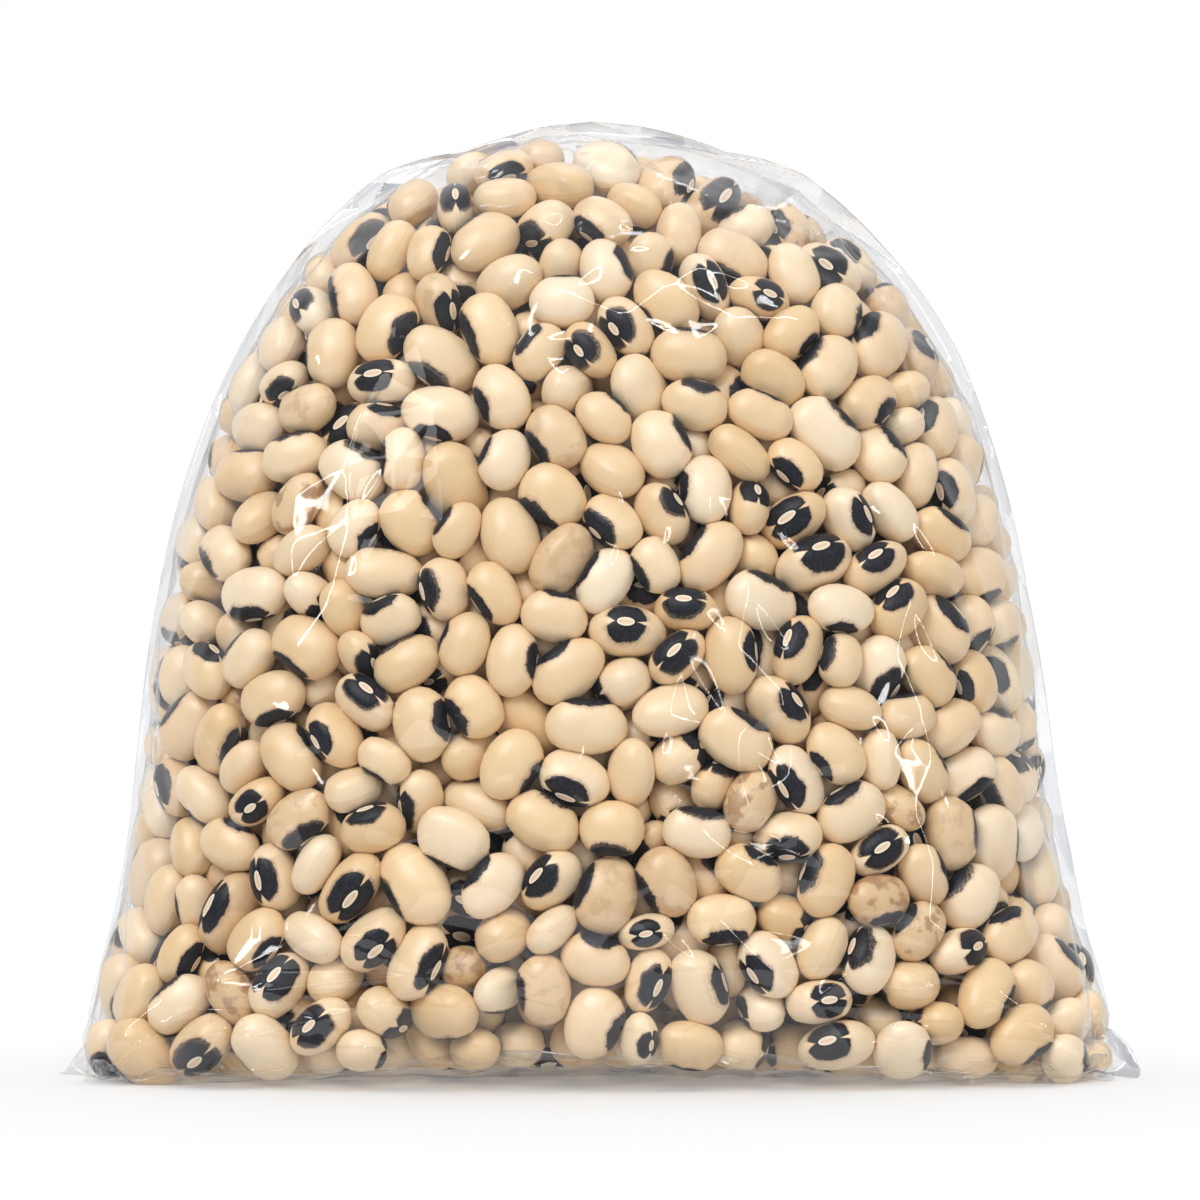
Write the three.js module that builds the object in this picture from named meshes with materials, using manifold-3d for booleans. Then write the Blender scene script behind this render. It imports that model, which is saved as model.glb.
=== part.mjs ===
// A clear sealed bag of dried black-eyed peas that stands on its own flat base.
// The bag is one closed solid: the packed beans press against the film, so its surface is a field
// of bean-sized domes with valleys between them, and the welded edge of the film runs round it as
// a thin flange, wide and crinkled over the top and drawn out into an ear at each bottom corner.
// Millimetres, +Z up, the front faces -Y, the origin is the middle of the footprint on the floor.
import * as THREE from "three";
import { ConvexHull } from "three/addons/math/ConvexHull.js";
import { mergeVertices } from "three/addons/utils/BufferGeometryUtils.js";
import Module from "manifold-3d";

// The filled body of the bag
const BODY_HEIGHT = 116.6;
const BODY_HALF_WIDTH = 56.8;
const BODY_HALF_DEPTH = 35;
const ARCH_POWER = 3; // how late the sides turn in towards the top
const ARCH_ROOT = 2.2;
const DEPTH_POWER = 2.2; // front and back lean in earlier than the sides do
const DEPTH_ROOT = 1.7;
const SECTION_POWER = 2.5; // each level section is a superellipse that meets at the side welds
const SECTION_ROOT = 2;
const LEAN = -0.9; // the upper part stands a little to the left
const LEAN_HEIGHT = 40; // above this the lean is whole

// The spread foot
const FLARE = 6.2; // how far the corners run out past the sides
const FLARE_HEIGHT = 21;
const EDGE_RADIUS = 8; // rounding between the faces and the base
const CORNER_FORWARD = 17; // the side welds come forward to the front corners
const CORNER_FORWARD_HEIGHT = 16;
const FRONT_LIFT = 1.6; // the front edge rises off the floor in the middle
const FRONT_LIFT_FROM = 12;
const FRONT_LIFT_TO = 30;

// The welded film edge
const FILM_HALF_WIDTH = 58;
const FILM_HEIGHT = 120.4;
const FILM_FLARE = 6.6;
const FLANGE_THICKNESS = 0.8;
const FLANGE_DEPTH = 9; // from the outer line to the root inside the body
const FLANGE_AIM_LOW = 12; // the root lies towards the body's middle, between these two heights
const FLANGE_AIM_HIGH = 70;
const FLANGE_AIM_DEPTH = 0.5; // and at this share of the outer line's place from front to back
const FLANGE_STEPS = 96;
const SIDE_STEPS = 40; // points along each side of the outer line
const EAR_LENGTH = 4.2;
const EAR_HEIGHT = 6.5;
const EAR_TIP_HEIGHT = 0.7;
const FOOT_SHARES = [0.85, 0.5, 0, -0.5, -0.85]; // the front foot's points, from right to left
const FOOT_BOW = 4; // the foot bows forward in the middle
const FOOT_CORNER_BACK = 8; // and turns back at the corners
const FOOT_HEIGHT = 0.4;
const CREST_WAVE = 1.1; // sideways crinkle of the top edge
const CREST_FROM = 96; // the crinkle grows from this height up
const CREST_WAVES = 34; // crinkles along the whole flange

// The beans that show
const BEAN_HALF_LENGTH = 4.3;
const BEAN_HALF_WIDTH = 3.2;
const BEAN_SPACING = 7.5;
const BEAN_RELIEF = 2.6; // from the crown of a bean to the valley beside it
const SHOULDER_DROP = 0.75; // from the crown to the shoulder ring
const SHOULDER_SHARE = 0.775; // the shoulder ring's place between crown and rim
const CELL_SHARE = 0.8; // and at most this share of the way to the valley
const CANDIDATES = 14000;
const LEAST_SPACING_SHARE = 0.86; // how near to another a thrown bean may land
const PUSH_REACH_SHARE = 1.25; // how far off a neighbour still pushes
const PUSH_STEP = 0.12;
const SPREAD_STEPS = 14;
const SEED = 20260;
const BEAN_COLOUR = 0xe9cfa4;

// How finely the shape is worked out
const SEARCH_REACH = 2; // in half sizes of the body, past every point of its surface
const HALVINGS = 30;
const NORMAL_TURN = 0.02;
const ON_BASE_WITHIN = 0.02;
const SNAP_WITHIN = 1e-6;
const WELD_WITHIN = 1e-4;
const MERGE_WITHIN = 0.03; // slivers from joining the solids are merged away below this size

// A small seeded generator of numbers from 0 to 1, so that the bag is the same every time.
function seededRandom(seed) {
  let state = seed;
  return () => {
    state = (state * 1664525 + 1013904223) % 4294967296;
    return state / 4294967296;
  };
}

const smoothstep = (low, high, value) => {
  const t = Math.min(1, Math.max(0, (value - low) / (high - low)));
  return t * t * (3 - 2 * t);
};

// How far the arch has closed in at a height, from 1 at the floor to 0 at the top.
const archShare = (z, height, power, root) =>
  Math.pow(Math.max(0, 1 - Math.pow(Math.max(0, z) / height, power)), 1 / root);

const flareAt = (z, flare) => flare * Math.exp(-Math.pow(z / FLARE_HEIGHT, 2));

const leanAt = (z) => LEAN * smoothstep(0, LEAN_HEIGHT, z);

// The side welds' place from front to back.
const weldDepth = (z) => -CORNER_FORWARD * Math.exp(-Math.pow(z / CORNER_FORWARD_HEIGHT, 2));

const bodyHalfWidth = (z) =>
  BODY_HALF_WIDTH * archShare(z, BODY_HEIGHT, ARCH_POWER, ARCH_ROOT) + flareAt(z, FLARE);

function bodyHalfDepth(z) {
  const full = BODY_HALF_DEPTH * archShare(z, BODY_HEIGHT, DEPTH_POWER, DEPTH_ROOT);
  const below = Math.max(0, 1 - z / EDGE_RADIUS);
  return full - EDGE_RADIUS * (1 - Math.sqrt(1 - below * below));
}

// The height of the underside over the floor: flat, with the front edge lifted in the middle.
function undersideHeight(x, y) {
  const across = Math.max(0, 1 - Math.pow(x / (BODY_HALF_WIDTH + FLARE), 2));
  return FRONT_LIFT * across * smoothstep(FRONT_LIFT_FROM, FRONT_LIFT_TO, -y);
}

// Negative inside the body, positive outside it, without unit.
function bodyLevel(p) {
  if (p.z >= BODY_HEIGHT || p.z <= undersideHeight(p.x, p.y)) return 1;
  const weld = weldDepth(p.z);
  const across = Math.pow(Math.abs(p.x - leanAt(p.z)) / bodyHalfWidth(p.z), SECTION_POWER);
  const reach = p.y < weld ? bodyHalfDepth(p.z) + weld : bodyHalfDepth(p.z) - weld;
  return across + Math.pow(Math.abs(p.y - weld) / reach, SECTION_ROOT) - 1;
}

const BODY_CENTRE = new THREE.Vector3(0, 0, 46);
const BODY_SCALE = new THREE.Vector3(BODY_HALF_WIDTH, BODY_HALF_DEPTH, BODY_HEIGHT / 2);

// Where the ray from the body's centre leaves the body.
function onSurface(direction) {
  const step = direction.clone().multiply(BODY_SCALE);
  let low = 0;
  let high = SEARCH_REACH;
  for (let halving = 0; halving < HALVINGS; halving++) {
    const middle = (low + high) / 2;
    const inside = bodyLevel(BODY_CENTRE.clone().addScaledVector(step, middle)) < 0;
    if (inside) low = middle;
    else high = middle;
  }
  return BODY_CENTRE.clone().addScaledVector(step, low);
}

const directionOf = (point) => point.clone().sub(BODY_CENTRE).divide(BODY_SCALE).normalize();

const onBase = (point) => point.z - undersideHeight(point.x, point.y) < ON_BASE_WITHIN;

// A vector that is square to the given one, chosen by three numbers.
const squareTo = (vector, a, b, c) => new THREE.Vector3(a, b, c).cross(vector).normalize();

// The outward normal of the body at a surface point, from the slope between near surface points.
function outwardNormal(point) {
  if (onBase(point)) return new THREE.Vector3(0, 0, -1);
  const direction = directionOf(point);
  const aside = squareTo(direction, 0.3, 0.5, 0.8);
  const along = direction.clone().cross(aside);
  const near = (way) => onSurface(direction.clone().addScaledVector(way, NORMAL_TURN).normalize());
  return near(aside).sub(point).cross(near(along).sub(point)).normalize();
}

// Bean places thrown at random over the body, none too near to another.
function throwBeans(random) {
  const places = [];
  for (let thrown = 0; thrown < CANDIDATES; thrown++) {
    const turn = 2 * Math.PI * random();
    const rise = 2 * random() - 1;
    const flat = Math.sqrt(1 - rise * rise);
    const place = onSurface(new THREE.Vector3(flat * Math.cos(turn), flat * Math.sin(turn), rise));
    const least = LEAST_SPACING_SHARE * BEAN_SPACING;
    if (places.every((other) => other.distanceTo(place) > least)) places.push(place);
  }
  return places;
}

// The same places pushed apart, so that they lie evenly.
function spreadBeans(random) {
  const places = throwBeans(random);
  const reach = PUSH_REACH_SHARE * BEAN_SPACING;
  for (let step = 0; step < SPREAD_STEPS; step++) {
    const pushes = places.map((place) => {
      const push = new THREE.Vector3();
      for (const other of places) {
        const gap = place.distanceTo(other);
        if (other !== place && gap < reach)
          push.add(place.clone().sub(other).multiplyScalar((reach - gap) / gap));
      }
      return push.multiplyScalar(PUSH_STEP);
    });
    places.forEach((place, i) => place.copy(onSurface(directionOf(place.clone().add(pushes[i])))));
  }
  return places;
}

// The triangles that join neighbouring beans, as indices, and each bean's triangles in order round it.
function neighbourCells(places) {
  const directions = places.map(directionOf);
  const indexOf = new Map(directions.map((direction, i) => [direction, i]));
  const hull = new ConvexHull().setFromPoints(directions);
  const triangles = hull.faces.map((face) =>
    [face.edge, face.edge.next, face.edge.prev].map((edge) => indexOf.get(edge.head().point)),
  );
  const cells = places.map((_, bean) => {
    const around = new Map(); // from one neighbour, the next one counter-clockwise and their triangle
    triangles.forEach((corners, t) => {
      const at = corners.indexOf(bean);
      if (at >= 0) around.set(corners[(at + 1) % 3], [corners[(at + 2) % 3], t]);
    });
    const ring = [];
    let neighbour = around.keys().next().value;
    do {
      const [next, t] = around.get(neighbour);
      ring.push(t);
      neighbour = next;
    } while (ring.length < around.size);
    return ring;
  });
  return { triangles, cells };
}

// The surface of the packed beans: a crowned cell for each bean, flat cells on the base.
function beanSurface() {
  const random = seededRandom(SEED);
  const places = spreadBeans(random);
  const normals = places.map(outwardNormal);
  const { triangles, cells } = neighbourCells(places);
  const points = [];
  const faces = [];
  const addPoint = (p) => {
    points.push(p.x, Math.abs(p.y) < SNAP_WITHIN ? 0 : p.y, Math.max(0, p.z));
    return points.length / 3 - 1;
  };
  const valleys = triangles.map((corners) => {
    const middle = new THREE.Vector3();
    const inward = new THREE.Vector3();
    corners.forEach((bean) => {
      middle.addScaledVector(places[bean], 1 / 3);
      inward.sub(normals[bean]);
    });
    const depth = corners.every((bean) => onBase(places[bean])) ? 0 : BEAN_RELIEF;
    return middle.addScaledVector(inward.normalize(), depth);
  });
  const valleyIndex = valleys.map(addPoint);
  places.forEach((place, bean) => {
    const normal = normals[bean];
    const crown = addPoint(place);
    const rim = cells[bean].map((t) => valleyIndex[t]);
    if (onBase(place)) {
      rim.forEach((corner, i) => faces.push(crown, corner, rim[(i + 1) % rim.length]));
      return;
    }
    const along = squareTo(normal, random() - 0.5, random() - 0.5, random() - 0.5);
    const shoulder = cells[bean].map((t) => {
      const way = valleys[t].clone().sub(place);
      way.addScaledVector(normal, -way.dot(normal));
      const reach = way.length();
      way.normalize();
      const lengthwise = way.dot(along);
      const crosswise = Math.sqrt(Math.max(0, 1 - lengthwise * lengthwise));
      const outline = 1 / Math.hypot(lengthwise / BEAN_HALF_LENGTH, crosswise / BEAN_HALF_WIDTH);
      const radius = Math.min(outline * SHOULDER_SHARE, reach * CELL_SHARE);
      const corner = place.clone().addScaledVector(way, radius);
      return addPoint(corner.addScaledVector(normal, -SHOULDER_DROP));
    });
    shoulder.forEach((corner, i) => {
      const next = (i + 1) % shoulder.length;
      faces.push(crown, corner, shoulder[next]);
      faces.push(corner, rim[i], rim[next], corner, rim[next], shoulder[next]);
    });
  });
  return closedGeometry(points, faces);
}

function closedGeometry(points, faces) {
  const geometry = new THREE.BufferGeometry();
  geometry.setAttribute("position", new THREE.Float32BufferAttribute(points, 3));
  geometry.setIndex(faces);
  return geometry;
}

// The flange's outer line over one side, from the ear's tip at the floor up to the top of the arch.
function flangeSide(side) {
  const tip = side * (BODY_HALF_WIDTH + FLARE + EAR_LENGTH);
  const line = [new THREE.Vector3(tip, weldDepth(0), EAR_TIP_HEIGHT)];
  for (let i = 0; i <= SIDE_STEPS; i++) {
    const rise = Math.sin((Math.PI / 2) * (i / SIDE_STEPS));
    const z = EAR_HEIGHT + (FILM_HEIGHT - EAR_HEIGHT) * rise;
    const arch = FILM_HALF_WIDTH * archShare(z, FILM_HEIGHT, ARCH_POWER, ARCH_ROOT);
    line.push(new THREE.Vector3(leanAt(z) + side * (arch + flareAt(z, FILM_FLARE)), weldDepth(z), z));
  }
  return line;
}

// The whole outer line of the welded edge: up the left side, down the right and back along the front foot.
function flangeLine() {
  const left = flangeSide(-1);
  const right = flangeSide(1).reverse().slice(1);
  const foot = FOOT_SHARES.map((share) => {
    const x = share * (BODY_HALF_WIDTH + FLARE);
    const bow = FOOT_BOW * (1 - share * share) - FOOT_CORNER_BACK * Math.pow(share, 4);
    const y = EDGE_RADIUS - BODY_HALF_DEPTH - bow;
    return new THREE.Vector3(x, y, undersideHeight(x, y) + FOOT_HEIGHT);
  });
  const loop = new THREE.CatmullRomCurve3([...left, ...right, ...foot], true, "centripetal");
  return loop.getSpacedPoints(FLANGE_STEPS).slice(0, FLANGE_STEPS);
}

// The flange as a closed band that starts inside the body and ends at the outer line.
function flangeBand() {
  const outer = flangeLine();
  const points = [];
  const faces = [];
  outer.forEach((tip, i) => {
    const crinkle = smoothstep(CREST_FROM, FILM_HEIGHT, tip.z) * CREST_WAVE;
    const wave = crinkle * Math.sin((2 * Math.PI * CREST_WAVES * i) / FLANGE_STEPS);
    const aimHeight = Math.max(FLANGE_AIM_LOW, Math.min(FLANGE_AIM_HIGH, tip.z));
    const inward = new THREE.Vector3(0, tip.y * FLANGE_AIM_DEPTH, aimHeight).sub(tip).normalize();
    const root = tip.clone().addScaledVector(inward, FLANGE_DEPTH);
    const onward = outer[(i + 1) % FLANGE_STEPS].clone().sub(tip);
    const across = inward.clone().cross(onward).normalize().multiplyScalar(-FLANGE_THICKNESS / 2);
    tip.y += wave;
    for (const place of [root, tip]) {
      for (const face of [-1, 1]) {
        const p = place.clone().addScaledVector(across, face);
        points.push(p.x, p.y, Math.max(0, p.z));
      }
    }
    const here = 4 * i;
    const next = 4 * ((i + 1) % FLANGE_STEPS);
    for (const [a, b] of [[0, 1], [1, 3], [3, 2], [2, 0]])
      faces.push(here + a, here + b, next + a, here + b, next + b, next + a);
  });
  return closedGeometry(points, faces);
}

// Joins the solids into one.
async function join(geometries) {
  const wasm = await Module();
  wasm.setup();
  const solids = geometries.map((geometry) => {
    const merged = mergeVertices(geometry, WELD_WITHIN);
    return new wasm.Manifold(
      new wasm.Mesh({
        numProp: 3,
        vertProperties: merged.attributes.position.array,
        triVerts: new Uint32Array(merged.index.array),
      }),
    );
  });
  const mesh = solids.reduce((joined, solid) => joined.add(solid)).simplify(MERGE_WITHIN).getMesh();
  return closedGeometry([...mesh.vertProperties], [...mesh.triVerts]);
}

const bag = new THREE.Mesh(
  await join([beanSurface(), flangeBand()]),
  new THREE.MeshStandardMaterial({ color: BEAN_COLOUR, roughness: 0.4, metalness: 0 }),
);
bag.name = "sealed_bag";

const model = new THREE.Group();
model.add(bag);
export default model;
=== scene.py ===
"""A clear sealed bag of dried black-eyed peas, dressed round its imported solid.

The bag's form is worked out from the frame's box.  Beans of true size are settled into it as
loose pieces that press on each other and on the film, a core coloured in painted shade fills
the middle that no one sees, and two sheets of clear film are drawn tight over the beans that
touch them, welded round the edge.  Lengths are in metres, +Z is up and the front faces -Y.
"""

import logging
import math
from dataclasses import dataclass, field
from enum import Enum
from typing import Callable, Iterable, Sequence

import bpy
import numpy as np
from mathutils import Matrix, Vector, geometry
from mathutils.bvhtree import BVHTree

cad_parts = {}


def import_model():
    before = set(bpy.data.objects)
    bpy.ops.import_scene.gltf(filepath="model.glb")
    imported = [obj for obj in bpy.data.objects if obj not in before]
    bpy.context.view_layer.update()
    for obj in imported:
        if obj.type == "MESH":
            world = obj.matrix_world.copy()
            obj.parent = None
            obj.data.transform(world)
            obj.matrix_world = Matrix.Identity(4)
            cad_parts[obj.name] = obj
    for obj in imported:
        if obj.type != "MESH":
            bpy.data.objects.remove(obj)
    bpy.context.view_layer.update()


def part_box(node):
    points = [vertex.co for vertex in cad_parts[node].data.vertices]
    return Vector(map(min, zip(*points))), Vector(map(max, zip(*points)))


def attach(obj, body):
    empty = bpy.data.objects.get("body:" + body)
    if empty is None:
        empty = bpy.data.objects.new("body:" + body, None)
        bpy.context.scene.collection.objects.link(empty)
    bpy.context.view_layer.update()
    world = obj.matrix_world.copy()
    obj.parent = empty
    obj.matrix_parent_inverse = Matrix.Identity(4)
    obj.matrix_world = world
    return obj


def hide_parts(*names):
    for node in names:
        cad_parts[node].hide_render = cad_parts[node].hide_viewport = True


LOG = logging.getLogger("bean_bag")

NODE = "sealed_bag"
BODY = "root"
BAKE_MAP = "OFBake"
PLACE = "bean_place"
CHANCE = "bean_chance"
CREASE = "film_crease"
PLEAT_SHADE = "film_pleat_shade"

MM = 0.001
TINY = 1e-9
Array = np.ndarray
Pair = tuple[float, float]
Triple = tuple[float, float, float]
Colour = Triple
Sun = tuple[str, Pair, float, float]


class Side(Enum):
    """The two sheets of film, by the way they face."""

    FRONT = -1
    BACK = 1


class Grade(Enum):
    """How finely a bean is modelled, as the squares along each edge of its start cube."""

    FINE = 7
    PLAIN = 5
    COARSE = 3


def linear(red: int, green: int, blue: int) -> Colour:
    """Turns a display colour of 0 to 255 into linear light.

    Args:
        red: Red as shown on a display.
        green: Green as shown on a display.
        blue: Blue as shown on a display.

    Returns:
        The three linear values.
    """
    shares = [value / 255 for value in (red, green, blue)]
    return tuple(s / 12.92 if s <= 0.04045 else ((s + 0.055) / 1.055) ** 2.4 for s in shares)


def smoothstep(low: float, high: float, value: Array) -> Array:
    """Returns 0 below low, 1 above high and an even rise between them."""
    t = np.clip((value - low) / (high - low), 0, 1)
    return t * t * (3 - 2 * t)


def unit(vectors: Array) -> Array:
    """Returns the vectors with their length made one."""
    return vectors / np.maximum(np.linalg.norm(vectors, axis=-1, keepdims=True), TINY)


def facet_relief(along: Array, across: Array, cells: int, rng: np.random.Generator) -> Array:
    """Heights of crumpled film: flat triangles between random heights on a square lattice.

    Args:
        along: Places along the first way, in cells, which repeat after the count of cells.
        across: Places along the second way, in cells.
        cells: How many cells close the first way.
        rng: The source of draws.

    Returns:
        Heights from -1 to 1.
    """
    along, across = np.broadcast_arrays(along, across)
    low, base = np.floor(along).astype(int), np.floor(across).astype(int)
    first, second = along - low, across - base
    rows = base - base.min()
    heights = rng.uniform(-1, 1, (cells, rows.max() + 2))
    flip = rng.random(heights.shape)[low % cells, rows] < 0.5
    near, far = heights[low % cells, rows], heights[(low + 1) % cells, rows]
    near_up, far_up = heights[low % cells, rows + 1], heights[(low + 1) % cells, rows + 1]
    first = np.where(flip, 1 - first, first)
    near, far = np.where(flip, far, near), np.where(flip, near, far)
    near_up, far_up = np.where(flip, far_up, near_up), np.where(flip, near_up, far_up)
    lower = near + first * (far - near) + second * (near_up - near)
    upper = far_up + (1 - first) * (near_up - far_up) + (1 - second) * (far - far_up)
    return np.where(first + second < 1, lower, upper)


def ridges(heights: Array, along_limit: float, across_limit: float) -> Array:
    """Returns how sharply a grid of heights is folded at each point, from 0 to 1.

    Args:
        heights: The heights, in rows that close on themselves.
        along_limit: The bend along a row that counts as a full fold.
        across_limit: The bend across the rows that does.

    Returns:
        The share of a full fold.
    """
    along = np.roll(heights, -1, 1) + np.roll(heights, 1, 1) - 2 * heights
    across = np.pad(np.diff(heights, 2, axis=0), ((1, 1), (0, 0)))
    return np.clip(np.maximum(np.abs(along) / along_limit, np.abs(across) / across_limit), 0, 1)


def lean_shade_share(heights: Array, limit: float) -> Array:
    """Returns where film leans one way, which is given a painted grey shade for pleats that lie double, from
    0 to 1.

    Args:
        heights: The film's heights, in rows that close on themselves.
        limit: The rise from one point to the next that counts as a full pleat.

    Returns:
        The share of a full pleat.
    """
    return np.clip((np.roll(heights, -1, 1) - np.roll(heights, 1, 1)) / 2 / limit, 0, 1)


def onward(line: Array) -> Array:
    """Returns the way along a closed line at each of its points."""
    return unit(np.roll(line, -1, axis=0) - np.roll(line, 1, axis=0))


def points_of(piece: bpy.types.Object) -> Array:
    """Reads the piece's points, one row each."""
    points = np.empty(len(piece.data.vertices) * 3)
    piece.data.vertices.foreach_get("co", points)
    return points.reshape(-1, 3)


def quads_of(piece: bpy.types.Object) -> Array:
    """Reads the corner numbers of the piece's four-sided faces, one row each."""
    quads = np.empty(len(piece.data.polygons) * 4, np.int32)
    piece.data.polygons.foreach_get("vertices", quads)
    return quads.reshape(-1, 4)


def squared_cube(squares: int) -> bpy.types.Object:
    """Adds a cube from -1 to 1 with its sides cut into squares.

    Args:
        squares: Squares along each edge.

    Returns:
        The cube, left active and selected.
    """
    bpy.ops.object.select_all(action="DESELECT")
    bpy.ops.mesh.primitive_cube_add(size=2)
    edit(lambda: bpy.ops.mesh.subdivide(number_cuts=squares - 1))
    return bpy.context.object


def edit(change: Callable[[], object]) -> None:
    """Makes one change to the active piece in edit mode."""
    bpy.ops.object.mode_set(mode="EDIT")
    change()
    bpy.ops.object.mode_set(mode="OBJECT")


def set_share(piece: bpy.types.Object, name: str, shares: Array) -> None:
    """Stores one value for each point of the piece."""
    layer = piece.data.attributes.new(name, "FLOAT", "POINT")
    layer.data.foreach_set("value", np.asarray(shares, np.float32).ravel())


def mesh_object(name: str, points: Array, quads: Array) -> bpy.types.Object:
    """Makes a smooth mesh object of four-sided faces.

    Args:
        name: The piece's name.
        points: Its corners, one row each.
        quads: Four corner numbers for each face, counter-clockwise from outside.

    Returns:
        The new object, linked to the scene.
    """
    mesh = bpy.data.meshes.new(name)
    mesh.vertices.add(len(points))
    mesh.vertices.foreach_set("co", np.asarray(points, np.float32).ravel())
    mesh.loops.add(quads.size)
    mesh.loops.foreach_set("vertex_index", np.asarray(quads, np.int32).ravel())
    mesh.polygons.add(len(quads))
    mesh.polygons.foreach_set("loop_start", np.arange(0, quads.size, 4, dtype=np.int32))
    mesh.update(calc_edges=True)
    mesh.validate()
    mesh.polygons.foreach_set("use_smooth", np.ones(len(mesh.polygons), bool))
    piece = bpy.data.objects.new(name, mesh)
    bpy.context.scene.collection.objects.link(piece)
    return piece


def grid_quads(rows: int, columns: int, closed: bool = False) -> Array:
    """Lists the faces of a grid of points.

    Args:
        rows: Points from first row to last.
        columns: Points along a row.
        closed: Whether the last column joins the first.

    Returns:
        Four corner numbers for each face.
    """
    row, column = np.meshgrid(np.arange(rows - 1), np.arange(columns - (not closed)), indexing="ij")
    after = (column + 1) % columns
    here, above = row * columns, (row + 1) * columns
    corners = np.stack([here + column, here + after, above + after, above + column], axis=-1)
    return corners.reshape(-1, 4)


def set_map(piece: bpy.types.Object, places: Array) -> None:
    """Gives the piece its own map for textures.

    Args:
        piece: The piece.
        places: Two values from 0 to 1 for each corner of each face.
    """
    layer = piece.data.uv_layers.new(name=BAKE_MAP)
    layer.data.foreach_set("uv", np.asarray(places, np.float32).ravel())


# Finishes


class NodeSketch:
    """A node tree being drawn up, with short calls for what the finishes share."""

    def __init__(self, tree: bpy.types.NodeTree) -> None:
        """Starts on an empty tree."""
        self.tree = tree
        tree.nodes.clear()

    def add(self, kind: str, **settings: object) -> bpy.types.Node:
        """Adds a node.

        Args:
            kind: The node's type, without its ShaderNode prefix.
            **settings: Node settings, or values of inputs named with underscores.

        Returns:
            The new node.
        """
        node = self.tree.nodes.new("ShaderNode" + kind)
        for name, value in settings.items():
            if hasattr(node, name):
                setattr(node, name, value)
            else:
                self.feed(node.inputs[name.replace("_", " ")], value)
        return node

    def feed(self, socket: bpy.types.NodeSocket, value: object) -> None:
        """Links an output to the socket, or sets the socket's own value."""
        if isinstance(value, bpy.types.NodeSocket):
            self.tree.links.new(value, socket)
        elif isinstance(value, tuple) and len(value) == 3 and socket.type == "RGBA":
            socket.default_value = (*value, 1)
        else:
            socket.default_value = value

    def math(self, operation: str, *values: object, clamp: bool = False) -> bpy.types.NodeSocket:
        """Returns the result of one sum on values or outputs."""
        node = self.add("Math", operation=operation, use_clamp=clamp)
        for socket, value in zip(node.inputs, values):
            self.feed(socket, value)
        return node.outputs[0]

    def vector(self, operation: str, *values: object) -> bpy.types.NodeSocket:
        """Returns the result of one sum on vectors."""
        node = self.add("VectorMath", operation=operation)
        for socket, value in zip(node.inputs, values):
            self.feed(socket, value)
        return node.outputs[0]

    def step(self, value: object, low: float, high: float) -> bpy.types.NodeSocket:
        """Returns an even rise from 0 at low to 1 at high, or a fall where low is the larger."""
        node = self.add("MapRange", interpolation_type="SMOOTHSTEP")
        for name, given in (("Value", value), ("From Min", low), ("From Max", high)):
            self.feed(node.inputs[name], given)
        return node.outputs[0]

    def fade(self, share: object, first: float, second: float) -> bpy.types.NodeSocket:
        """Returns the value that goes from first to second as the share goes from 0 to 1."""
        return self.math("MULTIPLY_ADD", share, second - first, first)

    def mix(self, share: object, first: object, second: object) -> bpy.types.NodeSocket:
        """Returns the shader that goes from first to second as the share goes from 0 to 1."""
        node = self.add("MixShader")
        for socket, value in zip(node.inputs, (share, first, second)):
            self.feed(socket, value)
        return node.outputs[0]

    def blend(self, share: object, first: object, second: object) -> bpy.types.NodeSocket:
        """Returns the colour that goes from first to second as the share goes from 0 to 1."""
        node = self.add("Mix", data_type="RGBA")
        for name, given in (("Factor_Float", share), ("A_Color", first), ("B_Color", second)):
            self.feed(next(s for s in node.inputs if s.identifier == name), given)
        return next(s for s in node.outputs if s.identifier == "Result_Color")

    def noise(self, vector: object, scale: float, detail: float = 2) -> bpy.types.NodeSocket:
        """Returns soft noise from 0 to 1."""
        return self.add("TexNoise", Vector=vector, Scale=scale, Detail=detail).outputs[0]


@dataclass(frozen=True)
class Finish:
    """A material that is drawn up as a tree of nodes."""

    name: str

    def material(self) -> bpy.types.Material:
        """Builds the material."""
        made = bpy.data.materials.new(self.name)
        made.use_nodes = True
        sketch = NodeSketch(made.node_tree)
        sketch.add("OutputMaterial", Surface=self.surface(sketch))
        return made

    def surface(self, sketch: NodeSketch) -> bpy.types.NodeSocket:
        """Draws up the shader and returns its output."""
        raise NotImplementedError


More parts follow.
